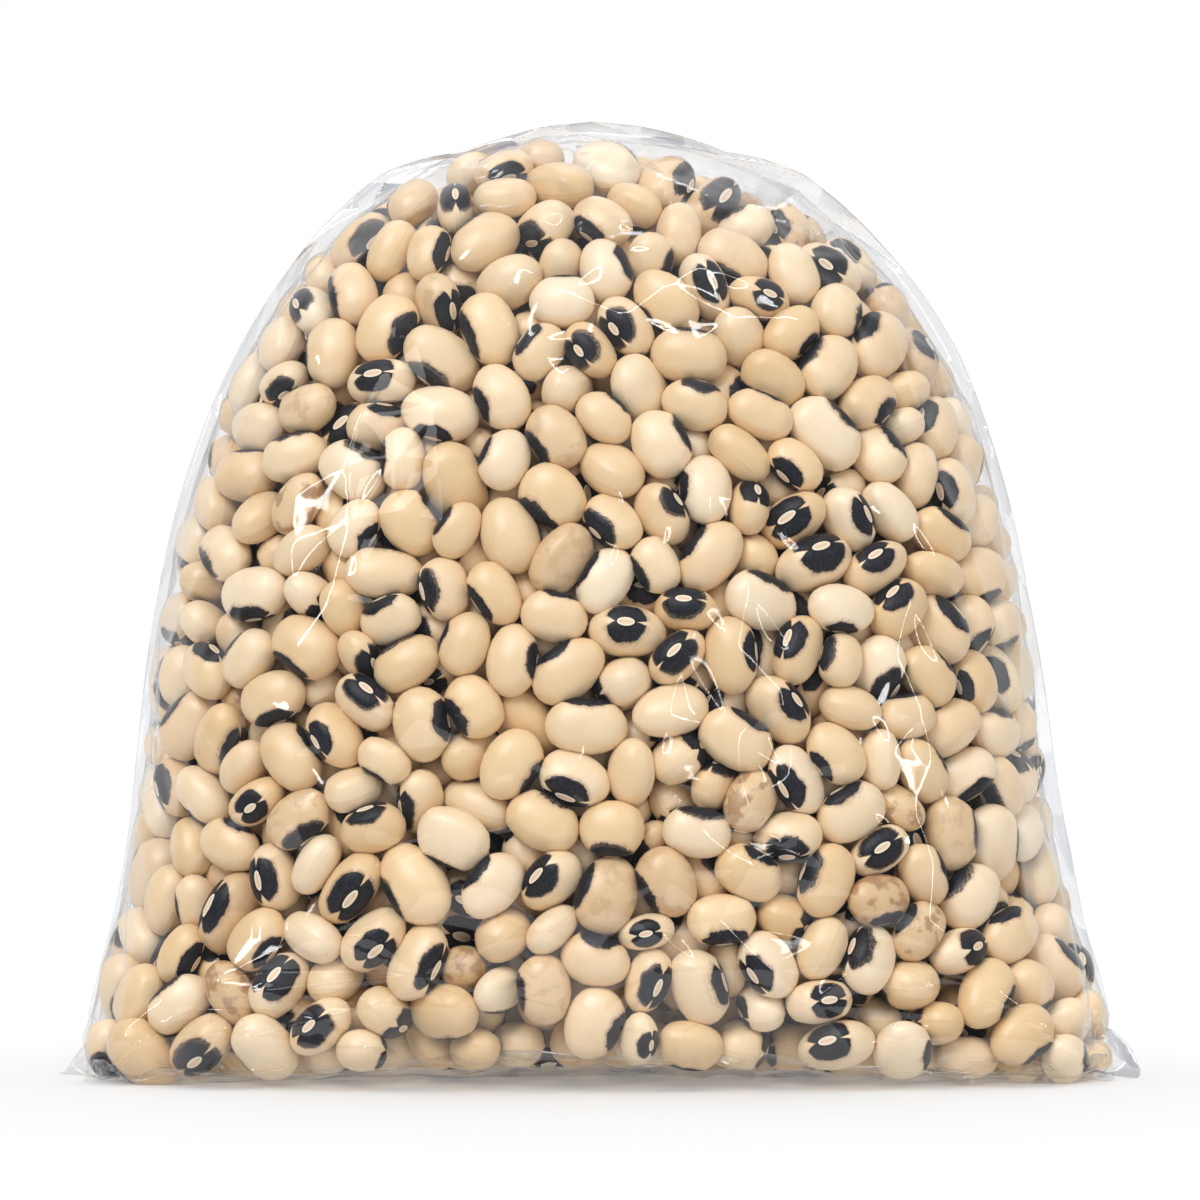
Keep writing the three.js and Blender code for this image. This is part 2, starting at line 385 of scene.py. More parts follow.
@dataclass(frozen=True)
class BeanCoat(Finish):
    """The seed coat of one kind of bean, with its black eye round the pale scar.

    The pattern lies in the bean's own space, where the coat is a ball of radius one, X runs along
    the bean, the eye faces -Y and the seam between the two halves lies at Z zero.
    """

    light: Colour
    deep: Colour
    stain: float = 0
    roughness: float = 0.44
    sheen: float = 0.22
    sheen_roughness: float = 0.35
    shine: float = 0.85
    eye_shine: float = 0.27
    eye_sheen_share: float = 0.2
    eye_length: float = 0.7
    eye_thickness: float = 0.8
    eye_power: float = 2.2
    notch_depth: float = 0.4
    edge_unrest: Triple = (0.22, 0.08, 0.18)
    scar_length: float = 0.31
    scar_thickness: float = 0.18
    slit_share: float = 0.4
    fringe_share: float = 0.55
    seam_share: float = 0.03
    speck_share: float = 0.6
    tone_weights: Pair = (0.9, 0.75)
    tone_start: float = 0.32
    speck_range: Pair = (0.76, 0.8)
    speck_chance: Pair = (0.6, 0.64)
    blot_range: Pair = (0.5, 0.62)
    # range of fine noise over which the eye takes its painted sheen
    ribs_and_sheen_range: Pair = (0.35, 0.75)
    slit_range: Pair = (0.05, 0.0)
    pad_range: Pair = (1.05, 0.75)
    seam_range: Pair = (0.07, 0.0)
    seam_start: Pair = (-0.85, -0.6)
    notch_width: float = 0.1
    blunt_width: float = 0.12
    notch_power: float = 1.4
    eye_range: Pair = (0.02, -0.02)
    fringe_range: Pair = (0.1, 0.0)
    scar_ranges: tuple[Pair, ...] = ((0.8, 0.5), (1.08, 0.92), (2.6, 2.0))
    rib_height: float = 0.4
    pad_height: float = 0.6
    seam_height: float = 0.28
    scar_height: float = -0.7
    bump_strength: float = 0.6
    bump_distance: float = 0.15 * MM
    hair_scale: float = 3.6
    wave_scale: float = 0.5
    mottle_scale: float = 0.32
    blot_scale: float = 0.42
    coat_apart: float = 97.0
    eye: Colour = linear(17, 18, 24)
    # painted sheen: the lighter blue-grey that streaks the black eye, partly its fine ribs
    eye_ribs_and_sheen: Colour = linear(38, 40, 52)
    # near-black ring round the scar: partly the eye's own black, partly painted shade of a groove
    ring_black_and_groove_shade: Colour = linear(14, 14, 18)
    scar: Colour = linear(230, 206, 178)
    scar_rim: Colour = linear(240, 230, 212)
    fringe: Colour = linear(170, 128, 98)
    brown: Colour = linear(150, 104, 66)
    bean_half: Triple = (4.5, 3.4, 2.9)

    def surface(self, sketch: NodeSketch) -> bpy.types.NodeSocket:
        """Draws up the coat with its eye, scar, seam and specks."""
        place = sketch.add("Attribute", attribute_name=PLACE).outputs["Vector"]
        chance = sketch.add("Attribute", attribute_name=CHANCE).outputs["Fac"]
        draw = sketch.add("TexWhiteNoise", noise_dimensions="1D", W=chance)
        draws = sketch.add("SeparateColor", Color=draw.outputs["Color"]).outputs
        apart = sketch.math("MULTIPLY", chance, self.coat_apart)
        grain = sketch.vector("ADD", sketch.vector("MULTIPLY", place, self.bean_half), apart)
        axes = sketch.add("SeparateXYZ", Vector=place).outputs
        hair = sketch.noise(grain, self.hair_scale, 1)
        coat = self.coat_colour(sketch, grain, draws, hair)
        seam = self.seam(sketch, axes)
        coat = sketch.blend(sketch.math("MULTIPLY", seam, self.seam_share), coat, self.fringe)
        front = sketch.math("LESS_THAN", axes[1], 0.0)
        wave = sketch.noise(grain, self.wave_scale, 1)
        eye, edge = self.eye_mask(sketch, axes, wave, hair, draws, front)
        scar, rim, ring = self.scar_masks(sketch, axes, front)
        # painted sheen: the eye's black goes to a lighter blue-grey in fine streaks, partly its ribs
        sheen = sketch.blend(sketch.step(hair, *self.ribs_and_sheen_range), self.eye, self.eye_ribs_and_sheen)
        # the ring round the scar turns near-black: partly the eye's black, partly painted groove shade
        sheen = sketch.blend(ring, sheen, self.ring_black_and_groove_shade)
        colour = sketch.blend(sketch.math("MULTIPLY", edge, self.fringe_share), coat, self.fringe)
        colour = sketch.blend(eye, colour, sheen)
        colour = sketch.blend(rim, colour, self.scar_rim)
        colour = sketch.blend(scar, colour, self.scar)
        middle = sketch.step(sketch.math("ABSOLUTE", axes[2]), *self.slit_range)
        slit = sketch.math("MULTIPLY", middle, scar)
        colour = sketch.blend(sketch.math("MULTIPLY", slit, self.slit_share), colour, self.fringe)
        shader = sketch.add(
            "BsdfPrincipled",
            Base_Color=colour,
            Roughness=self.roughness,
            Specular_IOR_Level=sketch.fade(eye, self.shine, self.eye_shine),
            Sheen_Weight=sketch.fade(eye, self.sheen, self.eye_sheen_share * self.sheen),
            Sheen_Roughness=self.sheen_roughness,
            Normal=self.relief(sketch, axes, front, seam, rim, sketch.math("MULTIPLY", eye, hair)),
        )
        return shader.outputs[0]

    def relief(
        self, sketch: NodeSketch, axes: Sequence, front: object, seam: object, rim: object, ribs: object
    ) -> bpy.types.NodeSocket:
        """Returns the coat's bumps: the raised eye with its ribs, the seam and the sunken scar."""
        pad = sketch.math("MULTIPLY", sketch.step(self.reach(sketch, axes), *self.pad_range), front)
        height = sketch.math("MULTIPLY", seam, self.seam_height)
        height = sketch.math("MULTIPLY_ADD", pad, self.pad_height, height)
        height = sketch.math("MULTIPLY_ADD", rim, self.scar_height, height)
        height = sketch.math("MULTIPLY_ADD", ribs, self.rib_height, height)
        bump = sketch.add("Bump", Height=height, Strength=self.bump_strength, Distance=self.bump_distance)
        return bump.outputs[0]

    def coat_colour(self, sketch: NodeSketch, grain: object, draws: Sequence, hair: object) -> object:
        """Returns the seed coat's colour: a tone for each bean, soft mottling, specks, stains."""
        mottle = sketch.noise(grain, self.mottle_scale, 2)
        soft, own = self.tone_weights
        tone = sketch.math("MULTIPLY_ADD", mottle, soft, sketch.math("MULTIPLY", draws[0], own))
        share = sketch.math("SUBTRACT", tone, self.tone_start, clamp=True)
        colour = sketch.blend(share, self.light, self.deep)
        dot = sketch.step(hair, *self.speck_range)
        rare = sketch.step(draws[1], *self.speck_chance)
        dot = sketch.math("MULTIPLY", dot, sketch.math("MULTIPLY", rare, self.speck_share))
        colour = sketch.blend(dot, colour, self.brown)
        if self.stain:
            blot = sketch.step(sketch.noise(grain, self.blot_scale, 4), *self.blot_range)
            colour = sketch.blend(sketch.math("MULTIPLY", blot, self.stain), colour, self.brown)
        return colour

    def seam(self, sketch: NodeSketch, axes: Sequence) -> object:
        """Returns the line of the seam round the ends and the back."""
        across = sketch.math("ABSOLUTE", axes[2])
        line = sketch.step(across, *self.seam_range)
        away = sketch.step(axes[1], *self.seam_start)
        return sketch.math("MULTIPLY", line, away)

    def reach(self, sketch: NodeSketch, axes: Sequence) -> object:
        """Returns how far out a place lies on the eye: 1 on its plain outline."""
        along = sketch.math("DIVIDE", sketch.math("ABSOLUTE", axes[0]), self.eye_length)
        aside = sketch.math("DIVIDE", sketch.math("ABSOLUTE", axes[2]), self.eye_thickness)
        powers = [sketch.math("POWER", share, self.eye_power) for share in (along, aside)]
        return sketch.math("POWER", sketch.math("ADD", *powers), 1 / self.eye_power)

    def eye_mask(
        self, sketch: NodeSketch, axes: Sequence, wave: object, hair: object, draws: Sequence, front: object
    ) -> tuple[object, object]:
        """Draws the eye: two lobes beside the scar with a notch at each end and a ragged edge.

        Args:
            sketch: The tree.
            axes: The three coordinates on the bean.
            wave: Slow noise from 0 to 1.
            hair: Fine noise from 0 to 1.
            draws: Three draws for each bean.
            front: The mask of the half that faces the scar.

        Returns:
            The eye's mask, and the mask of the fringe just outside it.
        """
        blunt = sketch.math("GREATER_THAN", axes[0], 0.0)
        width = sketch.math("MULTIPLY_ADD", blunt, self.blunt_width, self.notch_width)
        notch = sketch.math("DIVIDE", sketch.math("ABSOLUTE", axes[2]), width)
        notch = sketch.math("SUBTRACT", 1.0, notch, clamp=True)
        notch = sketch.math("POWER", notch, self.notch_power)
        limit = sketch.math("MULTIPLY_ADD", notch, -self.notch_depth, 1.0)
        for chance, unrest in zip((wave, hair, draws[2]), self.edge_unrest):
            limit = sketch.math("MULTIPLY_ADD", sketch.math("SUBTRACT", chance, 0.5), unrest, limit)
        past = sketch.math("SUBTRACT", self.reach(sketch, axes), limit)
        eye = sketch.math("MULTIPLY", sketch.step(past, *self.eye_range), front)
        edge = sketch.math("MULTIPLY", sketch.step(past, *self.fringe_range), front)
        return eye, edge

    def scar_masks(self, sketch: NodeSketch, axes: Sequence, front: object) -> tuple[object, ...]:
        """Returns the masks of the scar, of the scar with its pale rim, and of the near-black ring round it,
        partly painted groove shade.
        """
        along = sketch.math("DIVIDE", axes[0], self.scar_length)
        aside = sketch.math("DIVIDE", axes[2], self.scar_thickness)
        squares = [sketch.math("MULTIPLY", share, share) for share in (along, aside)]
        total = sketch.math("ADD", *squares)
        steps = [sketch.step(total, *limits) for limits in self.scar_ranges]
        return tuple(sketch.math("MULTIPLY", step, front) for step in steps)


@dataclass(frozen=True)
class CoreFinish(Finish):
    """The heap of beans behind the ones that show, darkened by painted shade in its colour."""

    name: str = "deep_beans_painted_shade"
    # painted shade: the deep heap's beans are coloured far darker than the ones in front, and darker still
    # in the gaps
    light: Colour = linear(150, 120, 86)
    gap_shade: Colour = linear(84, 64, 46)
    roughness: float = 0.55
    cells_in_metre: float = 130.0
    gap_shade_range: Pair = (0.2, 0.75)
    bump_strength: float = 0.8
    bump_distance: float = -1.2 * MM

    def surface(self, sketch: NodeSketch) -> bpy.types.NodeSocket:
        """Draws up round cells of a bean's size, with painted shade in the gaps between them."""
        where = sketch.add("TexCoord").outputs["Object"]
        gap = sketch.add("TexVoronoi", Vector=where, Scale=self.cells_in_metre).outputs["Distance"]
        # painted shade: the gaps between the cells go to the darker colour
        colour = sketch.blend(sketch.step(gap, *self.gap_shade_range), self.light, self.gap_shade)
        bump = sketch.add("Bump", Height=gap, Strength=self.bump_strength, Distance=self.bump_distance)
        shader = sketch.add(
            "BsdfPrincipled", Base_Color=colour, Roughness=self.roughness, Normal=bump.outputs[0]
        )
        return shader.outputs[0]


@dataclass(frozen=True)
class ClearFilm(Finish):
    """Thin clear glossy film: it lets nearly all light through and mirrors a little."""

    tint: Colour = (0.985, 0.987, 0.99)
    # white on the creases: partly the film's own whitening at folds, partly painted highlight
    crease_whitening_and_highlight: Colour = (0.93, 0.93, 0.94)
    # painted shade: a grey tint on film that leans one way, standing for pleats that lie double
    pleat_shade: Colour = (0.8, 0.805, 0.82)
    roughness: float = 0.05
    index: float = 1.5
    crease_share: float = 0.6
    crease_range: Pair = (0.35, 0.95)

    def surface(self, sketch: NodeSketch) -> bpy.types.NodeSocket:
        """Draws up clear film with both its faces' gloss, creases whitened partly as painted highlights, and
        painted grey shade where it leans one way.
        """
        behind = sketch.add("NewGeometry").outputs["Backfacing"]
        index = sketch.fade(behind, self.index, 1 / self.index)
        once = sketch.add("Fresnel", IOR=index).outputs[0]
        both = sketch.math("DIVIDE", sketch.math("MULTIPLY", once, 2.0), sketch.math("ADD", once, 1.0))
        # painted shade: film that leans one way lets through a greyer light
        doubled_shade = sketch.add("Attribute", attribute_name=PLEAT_SHADE).outputs["Fac"]
        through = sketch.blend(doubled_shade, self.tint, self.pleat_shade)
        clear = sketch.add("BsdfTransparent", Color=through).outputs[0]
        gloss = sketch.add("BsdfGlossy", Roughness=self.roughness).outputs[0]
        # sharp folds get white: partly the film's whitening, partly painted highlight along the creases
        folded = sketch.add("Attribute", attribute_name=CREASE).outputs["Fac"]
        whitened_and_highlit = sketch.math("MULTIPLY", sketch.step(folded, *self.crease_range), self.crease_share)
        crease_whitening_and_highlight = sketch.add("BsdfDiffuse", Color=self.crease_whitening_and_highlight).outputs[0]
        return sketch.mix(whitened_and_highlit, sketch.mix(both, clear, gloss), crease_whitening_and_highlight)


@dataclass(frozen=True)
class PaperFinish(Finish):
    """The plain white floor of the studio."""

    name: str = "white_paper"
    colour: Colour = (0.81, 0.82, 0.838)

    def surface(self, sketch: NodeSketch) -> bpy.types.NodeSocket:
        """Draws up plain matt paper."""
        return sketch.add("BsdfDiffuse", Color=self.colour).outputs[0]


# The bag's form


@dataclass(frozen=True)
class BagForm:
    """The outer form of the filled bag, worked out from the frame's box.

    The form is an arch from the front and a leaning wedge from the side.  It is handled in two
    spaces: the real one, and an upright one where the lean and the forward sweep of the side
    welds are taken out, so that both welds lie in the plane Y zero.
    """

    width: float
    depth: float
    height: float
    front_powers: Pair = (3, 2.2)
    side_powers: Pair = (2.2, 1.7)
    plan_power: float = 2.5
    foot_points: int = 401

    @classmethod
    def from_frame(cls, low: Vector, high: Vector) -> "BagForm":
        """Takes the sizes from the corners of the solid's box."""
        span = high - low
        return cls(span.x, span.y, span.z)

    @property
    def body_height(self) -> float:
        """Height of the filled body, under the film's crest."""
        return 0.982 * self.height

    @property
    def half_width(self) -> float:
        """Half the width of the arch."""
        return 0.427 * self.width

    @property
    def half_depth(self) -> float:
        """Half the depth at the widest level."""
        return 0.5018 * self.depth

    @property
    def flare(self) -> float:
        """How far the bottom corners run out past the sides."""
        return 0.109 * self.half_width

    @property
    def corner_forward(self) -> float:
        """How far forward the side welds come at the floor."""
        return 0.486 * self.half_depth

    @property
    def edge_radius(self) -> float:
        """Rounding between the faces and the base."""
        return 0.0686 * self.body_height

    @property
    def centre(self) -> Array:
        """The point from which every direction meets the surface once."""
        return np.array([0, 0, 0.3945 * self.body_height])

    @property
    def scale(self) -> Array:
        """Half sizes that make the body roughly a ball."""
        return np.array([self.half_width, self.half_depth, self.body_height / 2])

    def rise(self, z: Array, low: float, high: float) -> Array:
        """Returns an even rise from 0 to 1 between two heights, given as shares of the whole."""
        return smoothstep(low * self.height, high * self.height, z)

    def arch_share(self, z: Array, height: float, powers: Pair) -> Array:
        """Returns how far the arch has closed in: 1 at the floor, 0 at the height."""
        power, root = powers
        return np.maximum(0, 1 - (np.maximum(z, 0) / height) ** power) ** (1 / root)

    def flare_at(self, z: Array, flare: float) -> Array:
        """Returns the run-out of the foot at a height."""
        return flare * np.exp(-((z / (0.18 * self.body_height)) ** 2))

    def lean(self, z: Array) -> Array:
        """Returns how far the bag leans to its left at a height."""
        return -0.0158 * self.half_width * smoothstep(0, 0.343 * self.body_height, z)

    def weld(self, z: Array) -> Array:
        """Returns the side welds' place from front to back at a height."""
        return -self.corner_forward * np.exp(-((z / (0.1372 * self.body_height)) ** 2))

    def body_half_width(self, z: Array) -> Array:
        """Returns half the body's width at a height."""
        arch = self.half_width * self.arch_share(z, self.body_height, self.front_powers)
        return arch + self.flare_at(z, self.flare)

    def body_half_depth(self, z: Array) -> Array:
        """Returns half the body's depth at a height."""
        full = self.half_depth * self.arch_share(z, self.body_height, self.side_powers)
        below = np.clip(1 - z / self.edge_radius, 0, 1)
        return full - self.edge_radius * (1 - np.sqrt(1 - below * below))

    def underside(self, x: Array, y: Array) -> Array:
        """Returns the height of the underside: flat, with the front edge lifted in the middle."""
        across = np.maximum(0, 1 - (x / (self.half_width + self.flare)) ** 2)
        lift, ramp = 0.026 * self.body_height, 0.857 * self.half_depth
        return lift * across * smoothstep(0, ramp, -y)

    def slack(self, places: Array) -> Array:
        """Returns how loosely the film sits on the beans: well off them right of the crest."""
        middle, reach = 0.3 * self.half_width, 0.26 * self.half_width
        most = 0.024 * self.body_height
        aside = (places[..., 0] - middle) / reach
        rise = smoothstep(0.8 * self.body_height, 0.95 * self.body_height, places[..., 2])
        return most * np.exp(-aside * aside) * rise

    def lean_over(self, upright: Array) -> Array:
        """Turns places in the upright space into real ones."""
        z = upright[..., 2]
        return np.stack([upright[..., 0] + self.lean(z), upright[..., 1] + self.weld(z), z], axis=-1)

    def outside(self, places: Array) -> Array:
        """Returns whether each real place lies outside the body."""
        x, y, z = places[..., 0], places[..., 1], places[..., 2]
        weld = self.weld(z)
        half = self.body_half_depth(z)
        reach = np.where(y < weld, half + weld, half - weld)
        across = np.abs(x - self.lean(z)) / np.maximum(self.body_half_width(z), TINY)
        through = np.abs(y - weld) / np.maximum(reach, TINY)
        level = across**self.plan_power + through**2
        return (level > 1) | (z >= self.body_height) | (z <= self.underside(x, y))

    def surface(self, directions: Array, outside: Callable[[Array], Array] | None = None) -> Array:
        """Finds where rays from the centre leave the body.

        Args:
            directions: Directions in the upright space, one row each.
            outside: A test of real places, or None for the body's own.

        Returns:
            The places on the surface, in the real space.
        """
        test = outside or self.outside
        halvings = 26
        steps = directions * self.scale
        low = np.zeros(directions.shape[:-1])
        high = np.full(directions.shape[:-1], 2.0)
        for _ in range(halvings):
            middle = (low + high) / 2
            out = test(self.lean_over(self.centre + steps * middle[..., None]))
            high = np.where(out, middle, high)
            low = np.where(out, low, middle)
        return self.lean_over(self.centre + steps * low[..., None])

    def foot(self, shares: Array) -> Array:
        """Returns directions to the welded foot line along the front, from left, -1, to right, 1."""
        hem_height = 0.021 * self.body_height
        z = hem_height * (1 - shares**4)
        x = shares * self.body_half_width(z)
        reach = self.body_half_depth(z) + self.weld(z)
        y = -reach * np.sqrt(np.maximum(0, 1 - np.abs(shares) ** self.plan_power))
        return (np.stack([x, y, z], axis=-1) - self.centre) / self.scale

    def edge_turns(self) -> tuple[Array, Array]:
        """Describes the weld loop seen from the centre.

        Returns:
            Turns round the front view for the foot line, and the angle from straight ahead there.
        """
        foot = self.foot(np.linspace(-1, 1, self.foot_points))
        turns = np.arctan2(foot[:, 2], foot[:, 0])
        return turns, np.arctan2(np.hypot(foot[:, 0], foot[:, 2]), -foot[:, 1])

    def sheet(self, side: Side, count: int) -> Array:
        """Lays a square grid over the part of the body that one sheet covers.

        Args:
            side: Which sheet.
            count: Points along each side of the grid.

        Returns:
            The grid's places, rows from the foot up and columns from left to right.
        """
        steps = np.linspace(-1, 1, count)
        across, up = np.meshgrid(steps, steps)
        disk_x = across * np.sqrt(1 - up * up / 2)
        disk_z = up * np.sqrt(1 - across * across / 2)
        turns, angles = self.edge_turns()
        turn = np.arctan2(disk_z, disk_x)
        quarter = math.pi / 2
        corners = np.array([-1, -0.75, -0.5, -0.25, 0, 1]) * math.pi
        feet = np.array([-math.pi, turns[0], -quarter, turns[-1], 0, math.pi])
        turn = np.interp(turn, corners, feet)
        edge = np.interp(turn, turns, angles, left=quarter, right=quarter)
        edge = edge if side is Side.FRONT else math.pi - edge
        reach = np.hypot(disk_x, disk_z) * edge
        ahead = side.value * np.cos(reach)
        flat = np.sin(reach)
        return self.surface(np.stack([flat * np.cos(turn), ahead, flat * np.sin(turn)], axis=-1))


@dataclass
class Room:
    """How deep each place lies inside the body, on a coarse grid."""

    form: BagForm
    pitch: float = 2.5 * MM
    margin: float = 6 * MM
    skin_count: int = 90
    low: Array = field(init=False)
    depths: Array = field(init=False)

    def __post_init__(self) -> None:
        """Measures the grid from the two sheets of the body's surface."""
        skin = self.skin()
        half = np.array([self.form.width / 2, self.form.depth / 2, 0]) + self.margin
        self.low = np.array([-half[0], -half[1], -self.margin])
        high = np.array([half[0], half[1], self.form.body_height + self.margin])
        counts = np.ceil((high - self.low) / self.pitch).astype(int) + 1
        axes = [self.low[k] + self.pitch * np.arange(counts[k]) for k in range(3)]
        places = np.stack(np.meshgrid(*axes, indexing="ij"), axis=-1)
        flat = places.reshape(-1, 3)
        gaps = np.array([skin.find_nearest(place)[3] for place in flat.tolist()])
        signs = np.where(self.form.outside(flat), 1, -1)
        self.depths = (gaps * signs).reshape(counts)

    def skin(self) -> BVHTree:
        """Builds a search tree of the body's surface."""
        count = self.skin_count
        quads = grid_quads(count, count)
        sheets = [self.form.sheet(side, count).reshape(-1, 3) for side in Side]
        points = np.concatenate(sheets)
        faces = np.concatenate([quads, quads + count * count])
        return BVHTree.FromPolygons(points.tolist(), faces.tolist())

    def depth(self, places: Array) -> Array:
        """Returns the signed gap to the surface, negative inside."""
        spot = (places - self.low) / self.pitch
        base = np.clip(np.floor(spot).astype(int), 0, np.array(self.depths.shape) - 2)
        share = np.clip(spot - base, 0, 1)
        total = np.zeros(places.shape[:-1])
        for corner in np.ndindex(2, 2, 2):
            weight = np.prod(np.where(corner, share, 1 - share), axis=-1)
            x, y, z = (base + corner).T if places.ndim == 2 else np.moveaxis(base + corner, -1, 0)
            total += weight * self.depths[x, y, z]
        return total

    def outward(self, places: Array) -> Array:
        """Returns the way out of the body at each place."""
        slopes = []
        for axis in range(3):
            aside = np.zeros(3)
            aside[axis] = self.pitch / 2
            slopes.append(self.depth(places + aside) - self.depth(places - aside))
        return unit(np.stack(slopes, axis=-1))


# Beans


@dataclass
class Heap:
    """Beans as loose ovals that are grown in place until they press on each other and the film."""

    room: Room
    seed: int = 7
    count: int = 2200
    half: Triple = (4.4 * MM, 3.2 * MM, 2.72 * MM)
    spread: float = 0.075
    own_spread: float = 0.04
    start_size: float = 0.4
    start_depth: float = 2.5 * MM
    lie_flat: float = 0.85
    film_gap: float = -0.3 * MM
    grow_steps: int = 130
    settle_steps: int = 130
    pair_every: int = 8
    pair_reach: float = 2.3
    ease: float = 0.34
    film_ease: float = 0.8
    swell: float = 0.02 * MM
    arm: float = 3.5 * MM
    touch_steps: int = 3
    touch_ease: float = 0.9
    touch_radius: float = 6 * MM
    most_turn: float = 0.3
    places: Array = field(init=False)
    halves: Array = field(init=False)
    turns: Array = field(init=False)

    def settle(self) -> None:
        """Grows the beans from small seeds to full size and lets them find their places."""
        rng = np.random.default_rng(self.seed)
        self.halves = np.array(self.half) * (1 + self.spread * rng.standard_normal((self.count, 1)))
        self.halves = self.halves * (1 + self.own_spread * rng.standard_normal((self.count, 3)))
        self.places = self.first_places(rng)
        self.turns = self.first_turns(rng)
        total = self.grow_steps + self.settle_steps
        pairs = (np.empty(0, int), np.empty(0, int))
        for step in range(total):
            size = min(1.0, self.start_size + (1 - self.start_size) * step / self.grow_steps)
            if step % self.pair_every == 0:
                pairs = self.near_pairs()
            worst = self.press(pairs, self.halves * size)
        LOG.info("heap of %d beans, deepest press %.3f mm", self.count, worst / MM)

    def first_places(self, rng: np.random.Generator) -> Array:
        """Throws the seeds evenly into the body."""
        form = self.room.form
        found = np.empty((0, 3))
        while len(found) < self.count:
            thrown = rng.random((self.count, 3))
            thrown = thrown * [form.width, form.depth, form.body_height]
            thrown -= [form.width / 2, form.depth / 2, 0]
            found = np.concatenate([found, thrown[self.room.depth(thrown) < -self.start_depth]])
        return found[: self.count]

    def first_turns(self, rng: np.random.Generator) -> Array:
        """Turns each bean by chance, with its length laid nearly along the film."""
        turns = np.linalg.qr(rng.standard_normal((self.count, 3, 3)))[0]
        out = self.room.outward(self.places)
        rise = np.sum(turns[:, :, 0] * out, axis=1, keepdims=True)
        length = unit(turns[:, :, 0] - self.lie_flat * rise * out)
        side = turns[:, :, 1]
        side = unit(side - length * np.sum(side * length, axis=1, keepdims=True))
        return np.stack([length, side, np.cross(length, side)], axis=2)

    def near_pairs(self) -> tuple[Array, Array]:
        """Lists the pairs of beans near enough to touch soon."""
        squares = np.sum(self.places**2, axis=1)
        gaps = squares[:, None] + squares[None, :] - 2 * self.places @ self.places.T
        reach = self.pair_reach * self.half[0]
        return np.nonzero(np.triu(gaps < reach * reach, 1))

    def forms(self, halves: Array) -> Array:
        """Returns each oval as the matrix of its half sizes squared."""
        return np.einsum("nij,nj,nkj->nik", self.turns, halves**2, self.turns)

    def press(self, pairs: tuple[Array, Array], halves: Array) -> float:
        """Pushes overlapping beans apart and back inside the film, and turns them as they slip.

        Args:
            pairs: The pairs that may touch.
            halves: The beans' half sizes now.

        Returns:
            The deepest overlap that was found.
        """
        first, second = pairs
        forms = self.forms(halves)
        inertia = 0.4 * self.arm**2
        shift = np.zeros_like(self.places)
        spin = np.zeros_like(self.places)
        apart = self.places[second] - self.places[first]
        way = unit(apart)
        for _ in range(self.touch_steps):
            near = np.einsum("nij,nj->ni", forms[first], way)
            far = np.einsum("nij,nj->ni", forms[second], way)
            near_reach = np.sqrt(np.sum(near * way, axis=1))
            far_reach = np.sqrt(np.sum(far * way, axis=1))
            near /= near_reach[:, None]
            far /= far_reach[:, None]
            slope = apart - near - far
            slope -= way * np.sum(slope * way, axis=1)[:, None]
            way = unit(way + self.touch_ease * slope / self.touch_radius)
        overlap = near_reach + far_reach - np.sum(apart * way, axis=1)
        touching = overlap > 0
        first, second, way = first[touching], second[touching], way[touching]
        near, far, overlap = near[touching], far[touching], overlap[touching]
        near_arm, far_arm = np.cross(near, way), np.cross(far, way)
        weight = 2 + (np.sum(near_arm**2, axis=1) + np.sum(far_arm**2, axis=1)) / inertia
        push = (self.ease * 2 * overlap / weight)[:, None]
        np.add.at(shift, first, -push * way)
        np.add.at(shift, second, push * way)
        np.add.at(spin, first, -push * near_arm / inertia)
        np.add.at(spin, second, -push * far_arm / inertia)
        out = self.room.outward(self.places)
        edge = np.einsum("nij,nj->ni", forms, out)
        reach = np.sqrt(np.sum(edge * out, axis=1))
        edge /= reach[:, None]
        loose = self.film_gap + self.room.form.slack(self.places)
        past = np.maximum(0, self.room.depth(self.places) + reach + loose)
        arm = np.cross(edge, out)
        push = (self.film_ease * past / (1 + np.sum(arm**2, axis=1) / inertia))[:, None]
        shift += (self.swell - push) * out
        spin -= push * arm / inertia
        self.places = self.places + shift
        self.turn_by(spin)
        return float(overlap.max(initial=0))

    def turn_by(self, spin: Array) -> None:
        """Turns each bean by a small turn given as an axis times an angle."""
        angle = np.minimum(np.linalg.norm(spin, axis=1), self.most_turn)
        axis = unit(spin)
        cross = np.zeros((len(spin), 3, 3))
        cross[:, 0, 1], cross[:, 0, 2], cross[:, 1, 2] = -axis[:, 2], axis[:, 1], -axis[:, 0]
        cross -= np.transpose(cross, (0, 2, 1))
        sine, cosine = np.sin(angle)[:, None, None], np.cos(angle)[:, None, None]
        step = np.eye(3) + sine * cross + (1 - cosine) * cross @ cross
        self.turns = step @ self.turns

    def gaps(self) -> Array:
        """Returns how far each bean stays from the film."""
        out = self.room.outward(self.places)
        reach = np.sqrt(np.einsum("nij,ni,nj->n", self.forms(self.halves), out, out))
        return -self.room.depth(self.places) - reach


